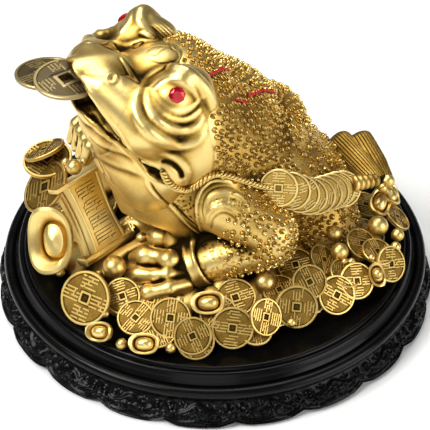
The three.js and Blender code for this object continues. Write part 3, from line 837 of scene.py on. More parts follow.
# Rolls of flesh: the half widths in millimetres along each, and the points of the picture that it
# runs through. They are the brow, two folds of the upper lid, the lower lid, three bags under it,
# and the two curls of the mouth's corner.
ROLLS = [
    ([0.8, 2.2, 2.8, 3.2, 3.6, 4.0, 3.8, 2.6], [
        (143, 86), (152, 77), (163, 71), (175, 69), (189, 74), (201, 84), (209, 95), (212, 105),
    ]),
    ([0.5, 1.1, 1.3, 1.3, 1.2, 0.7], [(150, 89), (159, 80), (171, 75), (184, 76.5), (196, 84), (203, 96)]),
    ([0.5, 1.0, 1.2, 1.2, 1.0, 0.6], [(154, 91), (162, 83), (172, 79.5), (183, 81), (192, 88), (198, 98)]),
    ([0.5, 1.0, 1.3, 1.3, 1.1, 0.6], [
        (156, 94), (162, 104), (172, 110.5), (183, 111.5), (192, 107), (198, 101),
    ]),
    ([0.6, 1.3, 1.6, 1.7, 1.5, 0.8], [
        (152, 91), (155, 104), (164, 114), (176, 119), (189, 118), (199, 111),
    ]),
    ([0.7, 1.8, 2.3, 2.4, 2.2, 1.8, 0.8], [
        (147, 90), (148, 104), (156, 118), (169, 127), (184, 130), (197, 126), (203, 117),
    ]),
    ([0.8, 1.9, 2.8, 3.2, 3.2, 2.8, 2.0, 0.9], [
        (141, 87), (136, 100), (139, 118), (151, 133), (167, 142), (183, 145), (197, 141), (205, 133),
    ]),
    ([0.6, 1.6, 2.0, 2.0, 1.2], [(162, 153), (173, 156), (182, 162), (187, 171), (186, 181)]),
    ([0.6, 1.4, 1.5, 0.8], [(166, 168), (174, 170), (179, 176), (179, 184)]),
]


def gape(p):
    """The room between the lips, in front of a back wall that runs round the jaw. Its roof falls
    with the distance behind the edges of the lips, and its floor dips behind the lower one."""
    width = np.abs(p[0])
    behind = np.clip(p[1] - np.interp(width, LIP_WIDTHS, LIP_EDGE), 0, None)
    top = np.interp(width, LIP_WIDTHS, UPPER_LIP) - 0.62 * behind
    dip = np.interp(width, [0, 24, 32], [4.5, 4.5, 0]) * np.clip((behind - 1.2) / 3, 0, 1)
    bottom = np.interp(width, LIP_WIDTHS, LOWER_LIP) + 0.15 * behind - dip
    slope = 0.6
    wall = p[1] + np.interp(width, [0, 20, 35, 42, 50], [54, 54, 52, 46, 38])
    return np.maximum(np.maximum(p[2] - top, bottom - p[2]) * slope, wall)


def skull(p):
    """Crown, cheeks, muzzle, snout, hoods over the eyes, forehead, eyeballs and jowls, cut off at
    the nape."""
    s = folded(p)
    crown = ball(p, (0, -43.5, 144.1), (33.6, 39.2, 33.4))
    cheeks = ball(s, (27, -37, 139), (18.5, 29.8, 42))
    muzzle = bar(s, (12.7, -71.6, 172.7), (35.3, -55.3, 157.5), 12.2, 14.7)
    snout = ball(p, (0, -75.5, 174.3), (13, 30, 12.6), turned(0, -4.4))
    d = merge(merge(merge(crown, cheeks, 10), muzzle, 10), snout, 6)
    hood = bar(s, (27, -43, 168), (31, -33, 178.5), 7.5, 7)
    hood = merge(hood, bar(s, (31, -33, 178.5), (32.5, -17, 161), 7, 6.5), 5)
    hood = merge(hood, ball(s, (25, -30, 165.5), (10, 18, 17)), 9)
    forehead = ball(p, (0, -36.5, 163.5), (20, 25, 17.5))
    eyeballs = ball(s, (31, -39, 168), (12, 13, 13))
    jowls = ball(s, (35, -28, 134), (15.5, 14, 26))
    d = merge(merge(merge(d, merge(hood, forehead, 8), 3.5), eyeballs, 3), jowls, 8)
    nape = p[1] - np.interp(p[2], [95, 120, 140, 160, 170, 180, 190], [-22, -15, -13, -12, -9, -3, 4])
    return carve(d, -nape, 9)


def rolled(s, d):
    """The rolls laid on a distance, each over the points near it."""
    for path, radii in rolls:
        near = np.flatnonzero(((s > path.min(0)[:, None] - 8) & (s < path.max(0)[:, None] + 8)).all(0))
        q, whole = s[:, near], None
        for start, stop, first, last in zip(path[:-1], path[1:], radii[:-1], radii[1:]):
            bone = bar(q, start, stop, first, last)
            whole = bone if whole is None else np.minimum(whole, bone)
        if whole is not None:
            d[near] = merge(d[near], whole, 2.2)
    return d


def jaws(p):
    """The skull with its rolls over a lower jaw and throat pouch."""
    s = folded(p)
    jaw = ball(p, (0, -63.3, 146.3), (33.3, 24.9, 10), turned(0, -27.6))
    jaw = merge(jaw, ball(p, (0, -47.5, 121), (45, 26.5, 43)), 12)
    jaw = merge(jaw, bar(s, (10.1, -66, 144.6), (35, -42, 122), 7.2, 10), 8)
    return merge(rolled(s, skull(p)), jaw, 3)


def head(p):
    """The jaws with the mouth cut between them, a pocket at each corner of it, and a hollow before
    the right brow."""
    s = folded(p)
    room = merge(bar(s, pocket[0], pocket[1], 1.0, 2.6), bar(s, pocket[2], pocket[3], 2.8, 1.2), 2)
    room = merge(room, bar(s, pocket[1], pocket[2], 2.6, 2.8), 1)
    open_jaws = carve(carve(jaws(p), gape(p), 2.2), room, 2)
    return carve(open_jaws, ball(p, (-33, -55, 186), (12, 9, 13)), 3)


rolls = []
for radii, pixels in ROLLS:
    path = smoothed(on_skin(lambda p: skull(p) + 0.35 * max(radii), smoothed(pixels, 3)), 3.0)
    rolls.append((path, np.interp(np.linspace(0, 1, len(path)), np.linspace(0, 1, len(radii)), radii)))
pocket = on_skin(lambda p: jaws(p) + 1.2, POCKET)

# Lines of the head: folds of the snout and the lips, folds of the throat and the collar's seam, a
# curl on the forehead, and leaves and long strokes over the brow.
MUZZLE = [
    ("groove", 1.3, 0.35, [(80, 73), (90, 75), (100, 76), (106, 77)]),
    ("lip", 1.8, 0.5, [(142, 85), (134, 81), (126, 77), (119, 74)]),
    ("ridge", 0.9, 0.5, [(118, 80), (117, 75), (112, 73), (107, 76), (108, 81), (113, 83), (118, 80)]),
    ("groove", 1.2, 0.4, [(111, 78), (114, 78)]),
    ("lip", 1.6, 0.5, [(142, 85), (138, 78), (132, 69), (126, 60), (118, 53), (109, 48), (101, 44)]),
    ("ridge", 1.6, 0.5, [
        (69, 64), (74, 74), (86, 88), (96, 101), (106, 116), (118, 129), (127, 143), (139, 156),
        (155, 164), (166, 166),
    ]),
    ("ridge", 1.3, 0.5, [
        (88, 103), (97, 113), (103, 124), (112, 134), (125, 143), (134, 152), (143, 167), (151, 180),
        (161, 187),
    ]),
    ("groove", 1.6, 1.0, [(117, 134), (126, 146), (136, 156), (146, 163)]),
    ("groove", 1.6, 0.8, [(160, 161), (172, 164), (180, 171), (183, 180)]),
]
THROAT = [
    ("lip", 4.2, 0.6, [(82, 122), (92, 128), (104, 132), (116, 138), (128, 147)]),
    ("lip", 4.4, 0.65, [(88, 135), (98, 146), (112, 152), (126, 157), (138, 165)]),
    ("lip", 4.4, 0.65, [(90, 150), (100, 160), (114, 168), (128, 173), (141, 178), (148, 184)]),
    ("ridge", 1.2, 0.8, [(146, 176), (151, 190), (162, 202), (176, 215), (190, 226), (206, 236)]),
    ("groove", 1.1, 0.6, [(149, 176), (154, 188), (164, 200), (178, 212), (192, 223), (207, 232)]),
]
FOREHEAD = [
    ("groove", 0.6, 0.3, [
        (146, 56), (150, 49), (160, 46), (172, 48), (179, 54), (176, 60), (165, 63), (153, 61), (146, 56),
    ]),
    ("groove", 0.6, 0.3, [(150, 53), (156, 55), (162, 50), (168, 47)]),
]
BROW_MARKS = [
    ("groove", 0.7, 0.45, [
        (138, 33), (140, 30), (147, 31), (155, 35), (157, 38), (150, 38), (141, 36), (138, 33),
    ]),
    ("groove", 0.8, 0.5, [(132, 47), (134, 44), (139, 42), (144, 41), (141, 45), (136, 48), (132, 47)]),
]
BROW_STROKES = 5
BROW_STROKE = (149, 24)
for index in range(BROW_STROKES):
    x, y = BROW_STROKE[0] + 3.2 * index, BROW_STROKE[1] - 1.2 * index
    BROW_MARKS.append(("groove", 0.6, 0.4, [(x, y), (x + 10, y + 8), (x + 20, y + 19), (x + 27, y + 29)]))

low, high = (-58, -100, 62), (58, 12, 196)
one_sided, mirrored = FOREHEAD + BROW_MARKS, MUZZLE + THROAT
head_skin = make_skin("toad_head", head, low, high, HEAD_VOXEL, one_sided, mirrored, sharp=1.5, depth=-0.04)
# Painted shade: the walls of the mouth are toned deeper.
shade(*head_skin[:2], lambda points, normals: 0.35 * np.clip(1.6 - np.abs(gape(points.T)), 0, 1))

# The warts. Round beads stand close together on the back and wider apart down the flanks, where a
# large one often has a ring of small ones. They are domes of the same casting, rubbed bright.
RINGED_FROM = 2.05
BEAD = 0.72
BEAD_REACH = 0.75


def stance(normal, spin=0.0):
    """A turned frame, one axis a column, whose third axis is the normal."""
    normal = np.array(normal, float) / np.linalg.norm(normal)
    one = np.cross((0, 0, 1), normal)
    one = one / np.linalg.norm(one) if np.linalg.norm(one) > 1e-3 else np.array([1.0, 0, 0])
    two = np.cross(normal, one)
    c, s = math.cos(spin), math.sin(spin)
    return np.stack([c * one + s * two, c * two - s * one, normal], 1)


def domes(name, points, normals, radii, sides):
    """One piece of many domes: each is three rings and a tip, sunk a little in the skin. A ring's
    distance from the axis and its rise are the cosine and the sine of its latitude."""
    latitudes = np.radians([-25, 25, 58])
    angle = np.arange(sides) * 2 * math.pi / sides
    helper = np.where(np.abs(normals[:, 2:]) > 0.9, [[1, 0, 0]], [[0, 0, 1]])
    one = np.cross(normals, helper)
    one /= np.linalg.norm(one, axis=1, keepdims=True)
    two = np.cross(normals, one)
    rings = []
    for latitude in latitudes:
        out = math.cos(latitude) * (np.cos(angle)[:, None, None] * one + np.sin(angle)[:, None, None] * two)
        rings.append(out + math.sin(latitude) * normals)
    shape = np.concatenate(rings + [normals[None]])
    made = (points + shape * radii[:, None]).transpose(1, 0, 2)
    per = made.shape[1]
    wall = grid_faces(len(latitudes), sides, wrap_columns=True)
    last = (len(latitudes) - 1) * sides
    spot = np.arange(sides)
    cap = np.stack([last + spot, last + (spot + 1) % sides, np.full(sides, per - 1)], 1)
    shift = np.arange(len(points))[:, None, None] * per
    faces = [(wall + shift).reshape(-1, 4), (cap + shift).reshape(-1, 3)]
    piece = make_piece(name, made.reshape(-1, 3), faces, burnished)
    store_hollow(piece, np.tile(np.repeat([0.85, 0.36, 0.06, 0.0], [sides, sides, sides, 1]), len(points)))
    return piece


def store_hollow(piece, values):
    """Stores hollows that are known beforehand."""
    layer = piece.data.attributes.new("hollow", "FLOAT", "POINT")
    layer.data.foreach_set("value", np.asarray(values, np.float32))


def spread(points, quads, count, chance, sizes):
    """Points scattered over a skin, each kept clear of the ones before it. A quad is drawn in
    proportion to its area and to the chance at its middle, and the larger sizes are laid first."""
    corners = points[quads]
    middle = corners.mean(1)
    face = np.cross(corners[:, 2] - corners[:, 0], corners[:, 3] - corners[:, 1])
    area = np.linalg.norm(face, axis=1)
    normal = face / np.maximum(area[:, None], 1e-9)
    weight = area * chance(middle, normal)
    chosen = rng.choice(len(quads), count, p=weight / weight.sum())
    mix = rng.random((2, count, 1))
    at = (corners[chosen, 0] * mix[0] + corners[chosen, 1] * (1 - mix[0])) * mix[1]
    at += (corners[chosen, 3] * mix[0] + corners[chosen, 2] * (1 - mix[0])) * (1 - mix[1])
    normals, radii = normal[chosen], sizes(middle[chosen], normal[chosen])
    order = np.argsort(-radii)
    at, normals, radii = at[order], normals[order], radii[order]
    ring = np.arange(9) * 2 * math.pi / 9
    cell = 5.0
    taken, kept = {}, []
    at, normals, radii = list(at), list(normals), list(radii)
    for i in range(count):
        x, y, z = np.floor(at[i] / cell).astype(int)
        near = [
            j
            for dx in (-1, 0, 1)
            for dy in (-1, 0, 1)
            for dz in (-1, 0, 1)
            for j in taken.get((x + dx, y + dy, z + dz), ())
        ]
        if any(((at[j] - at[i]) ** 2).sum() < (0.97 * (radii[j] + radii[i])) ** 2 for j in near):
            continue
        taken.setdefault((x, y, z), []).append(i)
        kept.append(i)
        if radii[i] > RINGED_FROM:
            side, rise, _ = stance(normals[i]).T
            reach = radii[i] + BEAD_REACH
            for spot in at[i] + reach * (np.cos(ring)[:, None] * side + np.sin(ring)[:, None] * rise):
                taken.setdefault(tuple(np.floor(spot / cell).astype(int)), []).append(len(at))
                kept.append(len(at))
                at.append(spot)
                normals.append(normals[i])
                radii.append(BEAD)
    return np.array(at)[kept], np.array(normals)[kept], np.array(radii)[kept]


def on_back(at, normal):
    """Whether each place is on the back's dense patch."""
    return (at[:, 2] > 102 + 0.45 * np.abs(at[:, 1] - 10)) & (normal[:, 2] > 0.1)


def wart_chance(at, normal):
    """Thick over the back behind the head, thinner down the flanks, thick again on the elbow, and
    none on the belly, the hands and the collar."""
    x, y, z = at.T
    chance = np.where(on_back(at, normal), 1.0, 0.13)
    chance = np.where((z < 118) & (np.abs(x) < 62), chance * np.clip((y + 12) / 14, 0, 1), chance)
    chance = np.where((z > 118) & (y < -8), 0.8, chance)
    chance = np.where((y < -27) | (z < 40) | (head(at.T.astype(np.float32)) < 0.8), 0.0, chance)
    arm = (np.abs(x) > 50) & (z < 100)
    chance = np.where(arm, np.where(y > -4, 0.3, np.where(y > -20, 0.08, 0.0)), chance)
    return chance


def wart_sizes(at, normal):
    """Half widths in millimetres: even beads on the back, mixed ones elsewhere."""
    even = rng.uniform(1.45, 2.0, len(at))
    mixed = 0.7 + 1.6 * rng.random(len(at)) ** 1.6
    arm = (np.abs(at[:, 0]) > 50) & (at[:, 2] < 100)
    mixed = np.where(arm, 0.8 + 1.24 * rng.random(len(at)), mixed)
    return np.where(on_back(at, normal), even, mixed)


def wart_patina_and_low_shade(points, normals):
    """Brown toning gathers between the warts, patina with painted shade, and a little more lies
    below the back, which is painted shade only.
    """
    return 0.16 * wart_chance(points, normals) + 0.1 * (points[:, 2] < 104)


for name, skin, tries, sides in (("near", near_skin, 11000, 8), ("far", far_skin, 9000, 6)):
    domes("warts_" + name, *spread(*skin[1:], tries, wart_chance, wart_sizes), sides)
    # Painted shade between the warts and low on the body, over the patina.
    shade(*skin[:2], wart_patina_and_low_shade)

# The coins of the heap. Each is struck: a raised rim, a square hole in a raised frame, and rows of
# short strokes in place of an inscription, over a stippled field that keeps the brown toning.
COIN_THICKNESS = 2.3
HEAP_COIN = 22.0
HEAP_INGOT = 17.0
# The heap's coins are toned deeper, a painted shade for coins that lie low in the heap.
HEAP_COIN_SHADE = -0.14
HEAP_TRIES = 420
LAID_RADIUS = 101


def direction(bearing, rise):
    """A unit direction from a bearing about the plinth's axis and a rise over level, in degrees."""
    b, e = math.radians(bearing), math.radians(rise)
    return np.array([math.cos(b) * math.cos(e), math.sin(b) * math.cos(e), math.sin(e)])


def bars_of(boxes, low, high, draft=0.16):
    """Raised strokes: each box of middle, half length and half width stands from low to high, and
    its top is smaller than its foot by the draft all round. Toning stays on the sides."""
    x, y, half, wide = np.array(boxes, float).T
    corner = np.array([[-1, -1], [1, -1], [1, 1], [-1, 1]])
    rings = []
    for level, inset in ((low, -draft), (high, 0.0)):
        px = x[:, None] + corner[:, 0] * (half[:, None] - inset)
        py = y[:, None] + corner[:, 1] * (wide[:, None] - inset)
        rings.append(np.stack([px, py, np.full_like(px, level)], -1))
    points = np.concatenate(rings, 1)
    side = np.array([[i, (i + 1) % 4, 4 + (i + 1) % 4, 4 + i] for i in range(4)] + [[4, 5, 6, 7]])
    faces = (side[None] + 8 * np.arange(len(x))[:, None, None]).reshape(-1, 4)
    hollow = np.tile(np.repeat([1.0, 0.08], 4), len(x))
    return points.reshape(-1, 3), faces, hollow


def stroke_rows(width, height, rows, stroke, source):
    """Middles and half sizes of short strokes: level rows broken at random, with a few upright
    ticks between them."""
    boxes = []
    pitch = height / rows
    for row in range(rows):
        y = -height / 2 + pitch * (row + 0.5)
        cut = source.uniform(-0.25, 0.25) * width
        style = source.integers(3)
        if style == 0:
            boxes.append((0, y, width / 2, stroke / 2))
        elif style == 1:
            gap, left, right = stroke * 0.35, cut + width / 2, width / 2 - cut
            boxes.append(((cut - width / 2) / 2 - gap, y, left / 2 - gap, stroke / 2))
            boxes.append((left / 2 + gap, y, right / 2 - gap, stroke / 2))
        else:
            boxes.append((cut * 0.6, y, width * 0.34, stroke / 2))
        if row and source.random() < 0.75:
            boxes.append((source.uniform(-0.4, 0.4) * width, y - pitch / 2, stroke / 2, pitch / 2))
    return boxes


def coin(diameter, thickness, seed, sides=48, pierced=False, paler=0.0):
    """A coin about the origin, level: rings carried from the edge over the rim to the field, and
    then over the frame of the square hole, where a ring's radius is the square's over the larger
    of its cosine and sine. A cast coin's hole is blind. Strokes stand on both faces. The toning is
    lighter by paler, and deeper where that is below nothing."""
    source = np.random.default_rng(seed)
    radius, half = diameter / 2, thickness / 2
    frame_side = diameter * (0.1 if pierced else 0.07)
    angle = (np.arange(sides) + 0.5) * 2 * math.pi / sides
    square = 1 / np.maximum(np.abs(np.cos(angle)), np.abs(np.sin(angle)))
    rim = diameter * 0.045
    field = half - 0.4
    profile = [
        (radius - 0.05, half - 0.7, 0, 0.3),
        (radius, half - 0.35, 0, 0.12),
        (radius - 0.35, half, 0, 0.03),
        (radius - rim, half, 0, 0.06),
        (radius - rim - 0.4, field, 0, 0.72),
        (radius - rim - 1.1, field, 0, 0.46),
        (frame_side * 2.1, field, 1, 0.46),
        (frame_side * 1.7, field, 1, 0.7),
        (frame_side * 1.6, half - 0.1, 1, 0.1),
        (frame_side * 1.1, half - 0.1, 1, 0.1),
        (frame_side, half - 0.5, 1, 0.75),
    ]
    if not pierced:
        profile.append((0.0, half - 0.55, 0, 0.6))
    top = []
    for ring, height, boxy, _ in profile:
        reach = ring * (square if boxy else np.ones(sides))
        top.append(np.stack([reach * np.cos(angle), reach * np.sin(angle), np.full(sides, height)], 1))
    turn_over = np.array([1, 1, -1])
    rings = [ring * turn_over for ring in top[::-1]] + top
    tones = [row[3] for row in profile]
    ring_tones = np.repeat(tones[::-1] + tones, sides)
    points = np.concatenate(rings)
    faces = [grid_faces(len(rings), sides, wrap_rows=pierced, wrap_columns=True)[:, ::-1]]
    middle = 0.5 * (radius - rim + frame_side * 1.8)
    size = (radius - rim - frame_side * 1.8) * 0.84
    for way in ((1, 0), (0, 1), (-1, 0), (0, -1)):
        boxes = stroke_rows(size * 1.2, size, 4, diameter * 0.026, source)
        made, quads, hollow = bars_of(boxes, field - 0.1, half - 0.06, 0.26)
        made[:, :2] += np.array(way) * middle
        for flip in (1, -1):
            shown = made * [1, flip, flip]
            faces.append(quads + len(points))
            points = np.concatenate([points, shown])
            ring_tones = np.concatenate([ring_tones, hollow])
    return points, faces, np.clip(ring_tones - paler, 0, 1)


def gather(pieces):
    """Many closed shapes as one: their points on end, and their faces numbered on."""
    points, faces, tones, shift = [], [], [], 0
    for made, parts, hollow in pieces:
        points.append(made)
        faces += [part + shift for part in parts]
        tones.append(hollow)
        shift += len(made)
    return np.concatenate(points), faces, np.concatenate(tones)


def put(shape, at, normal, spin=0.0):
    """A shape turned to stand on a normal and moved to a place."""
    points, faces, tones = shape
    return points @ stance(normal, spin).T + at, faces, tones


def cast_piece(name, shapes, finish, crease):
    """One piece of many closed shapes, with their tones stored as hollows."""
    points, faces, tones = gather(shapes)
    piece = make_piece(name, points, faces, finish, crease)
    store_hollow(piece, tones)
    return piece


def ingot(length, boss=1.0, full=1.0, aside=0.0):
    """A boat-shaped ingot, level, its long way along X. Rings, each a rounded oblong, run from the
    keel up the hull to the lip, over a broad smooth border into a groove, and over a low boss. The
    border climbs with the square of the cosine towards the two ends. The groove may be wider than
    usual, and may lie to one side, where it fills up."""
    sides = 40
    angle = np.arange(sides) * 2 * math.pi / sides
    along = np.sign(np.cos(angle)) * np.abs(np.cos(angle)) ** 0.85 * length / 2
    across_hull = np.sign(np.sin(angle)) * np.abs(np.sin(angle)) ** 0.85 * length * 0.35
    lift = length * 0.13 * np.cos(angle) ** 2
    # The last column is the tone: the hull is toned deeper towards the keel, a painted shade on its
    # underside.
    profile = [
        (0.0, -0.34, 0, 0.5), (0.3, -0.33, 0, 0.5), (0.6, -0.28, 0, 0.45), (0.82, -0.16, 0.3, 0.4),
        (0.95, -0.04, 0.8, 0.3), (1.0, 0.04, 1, 0.12), (0.97, 0.08, 1, 0.02), (0.88, 0.09, 0.95, 0.03),
        (0.76, 0.07, 0.75, 0.05), (0.66, 0.04, 0.5, 0.12), (0.59, 0.0, 0.35, 0.4), (0.55, -0.03, 0.3, 0.8),
        (0.51, -0.01, 0.25, 0.65), (0.46, 0.06, 0.15, 0.25), (0.36, 0.11, 0.05, 0.08), (0.2, 0.14, 0, 0.03),
        (0.0, 0.15, 0, 0.02),
    ]
    filled = 12 * abs(aside) * (0.5 - 0.5 * np.sin(angle))
    rings, tones = [], []
    for share, height, climbs, tone in profile:
        inner = share < 0.7 and height > -0.1
        groove = 0.4 < share < 0.7 and inner
        raised = height * (boss if share < 0.5 and inner else 1.0) + 0.07 * filled * groove
        wide = share * (full if inner else 1.0)
        moved = aside * length * np.clip((0.88 - share) / 0.3, 0, 1) * inner
        ring = [along * wide, across_hull * wide + moved, raised * length + lift * climbs]
        rings.append(np.stack(ring, 1))
        tones.append(tone * (1 - filled * groove))
    faces = grid_faces(len(rings), sides, wrap_columns=True)
    return np.concatenate(rings), [faces], np.concatenate(tones)


def pearl(diameter):
    """A ball: rings of latitude from pole to pole."""
    rings, sides = 13, 20
    lat = np.linspace(-math.pi / 2, math.pi / 2, rings)[:, None]
    lon = np.arange(sides)[None] * 2 * math.pi / sides
    x, y, z = np.cos(lat) * np.cos(lon), np.cos(lat) * np.sin(lon), np.sin(lat) + 0 * lon
    points = (np.stack([x, y, z], -1) * diameter / 2).reshape(-1, 3)
    # Painted shade: each pearl is toned paler on top and deeper underneath.
    tones = np.clip(0.3 - 0.3 * points[:, 2] / diameter * 2, 0.05, 0.7)
    return points, [grid_faces(rings, sides, wrap_columns=True)], tones


# The pieces at the front are placed by where they stand in the picture: the point, a size in
# millimetres, the way they face as a bearing and a rise, and their height above the table. An
# ingot's row ends with its spin and how high its boss is, and a pearl's has no facing.
FRONT_COINS = [
    (86, 298, 32, -55, 38, 47), (123, 296, 21.5, -38, 44, 47), (136, 318, 21.5, -30, 62, 42),
    (171, 318, 24, -28, 50, 44), (193, 336, 22, -24, 42, 41.5), (196, 341, 22, -22, 47, 38.5),
    (233, 328, 24.5, -22, 38, 42), (236, 298, 24, -26, 64, 49), (266, 317, 22, 20, 34, 45),
    (297, 307, 25, -14, 41, 44), (310, 282, 20.5, -10, 46, 53), (337, 295, 23.5, 4, 38, 43.5),
    (357, 281, 22, 8, 42, 46), (296, 265, 22, -20, 66, 53), (324, 260, 20, 45, 52, 53),
    (318, 237, 20, 30, 45, 54), (312, 226, 20, 20, 60, 56), (362, 244, 21, 35, 58, 51),
    (391, 264, 22, 24, 34, 44), (397, 217, 20, 70, 50, 46), (346, 273, 20, 30, 62, 49),
    (219, 314, 22, -30, 60, 44), (152, 300, 21, -40, 70, 46), (160, 332, 20, -30, 66, 38),
    (46, 187, 34, -92, 47, 80), (48, 159, 30, -60, 78, 88), (45, 150, 26, -150, 62, 92),
    (378, 252, 20, 40, 70, 49), (256, 330, 20, -5, 66, 38), (280, 290, 20, -20, 72, 48),
    (137, 230, 21, -50, 56, 51),
]
FRONT_INGOTS = [
    (52, 240, 40, -44, 36, 70, 1.85, 1.0), (101, 332, 17, -60, 44, 42, 0.4, 1.8),
    (145, 344, 18, -35, 52, 40, 0.1, 1.8), (209, 303, 20, -34, 52, 51, 0.2, 1.7),
    (377, 275, 15, 6, 44, 46, 1.5, 1.8), (380, 203, 20, 20, 55, 56, 0.6, 1.6),
    (391, 196, 17, 60, 60, 55, 0.2, 1.6),
]
FRONT_PEARLS = [
    (115, 267, 14, 53), (122, 344, 6.8, 36), (171, 348, 6.4, 35.5), (265.5, 282.5, 13, 50),
    (340, 252, 11, 55), (334, 233, 10, 57), (378.5, 226, 12.5, 54), (396, 247, 6.5, 47),
    (398, 235, 8, 48), (106, 314, 4.5, 43), (74.5, 167, 9.4, 101), (66, 162, 5, 98),
    (84, 161, 4, 101), (378, 274, 6, 50), (352, 262, 5, 51), (180, 300, 5, 50),
    (97, 276, 4.5, 50), (372, 258, 4.5, 50), (345, 262, 4.5, 52), (128, 302, 4, 46),
]
coins, ingots, pearls = [], [], []
for index, (x, y, size, bearing, rise, height) in enumerate(FRONT_COINS):
    shape = coin(size, COIN_THICKNESS, index, 40, paler=HEAP_COIN_SHADE)
    coins.append(put(shape, at_height((x, y), height), direction(bearing, rise), 0.5 * index))
for x, y, size, bearing, rise, height, spin, boss in FRONT_INGOTS:
    shape = ingot(size, 1.0, 1.0, -0.06) if size > 30 else ingot(size, boss, 1.22)
    ingots.append(put(shape, at_height((x, y), height), direction(bearing, rise), spin))
for x, y, size, height in FRONT_PEARLS:
    pearls.append(put(pearl(size), at_height((x, y), height), (0, 0, 1)))

# The rest of the heap, round the back and under the toad's edge, is laid at random: each place is
# drawn by bearing and radius, and is left out where the toad's body, the plaque or another piece
# stands.
PLAQUE_STANDS = [(7.0, -82.0, 48.0), (2.0, -70.0, 50.0), (-4.0, -57.0, 50.0)]
placed = FRONT_COINS + FRONT_INGOTS + FRONT_PEARLS
laid = [at_height(row[:2], row[5] if len(row) > 4 else row[3]) for row in placed]
laid += [np.array(spot) for spot in PLAQUE_STANDS]
for index in range(HEAP_TRIES):
    bearing, radius = rng.uniform(-180, 180), LAID_RADIUS * math.sqrt(rng.uniform(0.2, 1))
    kind = rng.choice(["coin", "coin", "coin", "pearl", "ingot"])
    size = {"coin": HEAP_COIN, "pearl": rng.uniform(5, 11), "ingot": HEAP_INGOT}[kind]
    spot = direction(bearing, 0) * radius
    spot[2] = HEAP_FOOT + HEAP_RISE * (1 - (radius / (HEAP_RADIUS - 4)) ** 2) + 2.5
    # A piece keeps clear of the others by a little over half its size and 4 mm.
    room = 0.62 * size if kind == "coin" else 0.55 * size
    clear = min(np.linalg.norm(spot - other) for other in laid) > room + 4
    column = spot[:, None].astype(np.float32)
    outside = min(body(column)[0], mound(column)[0] + 6) > 2
    if not clear or not outside:
        continue
    laid.append(spot)
    lean = direction(bearing + rng.uniform(-25, 25), rng.uniform(38, 72))
    if kind == "coin":
        shape = coin(size, COIN_THICKNESS, 100 + index, 28, paler=HEAP_COIN_SHADE)
        coins.append(put(shape, spot, lean, rng.uniform(0, 6)))
    elif kind == "pearl":
        pearls.append(put(pearl(size), spot, (0, 0, 1)))
    else:
        ingots.append(put(ingot(size, 1.8, 1.22), spot, lean, rng.uniform(0, 6)))
cast_piece("heap_coins", coins, struck, 40)
cast_piece("heap_ingots", ingots, gilt, 40)
cast_piece("heap_pearls", pearls, gilt, 40)

# The plaque. A thick tablet with waisted sides leans on the toad's chest between two moulded bars.
# Its face is a sunk stippled panel with rows of strokes in a raised border. It is cast with the
# toad, and gilded.
PLAQUE_FOOT = np.array([2.0, -71.0, 47.3])
PLAQUE_HEAD = np.array([-19.2, -80.8, 87.7])
PLAQUE_LEVEL = np.array([-0.343, 0.939, 0.045])
PLAQUE_WIDTH = 31.0
PLAQUE_WAIST = 4.0
PANEL_MIDDLE = 0.05


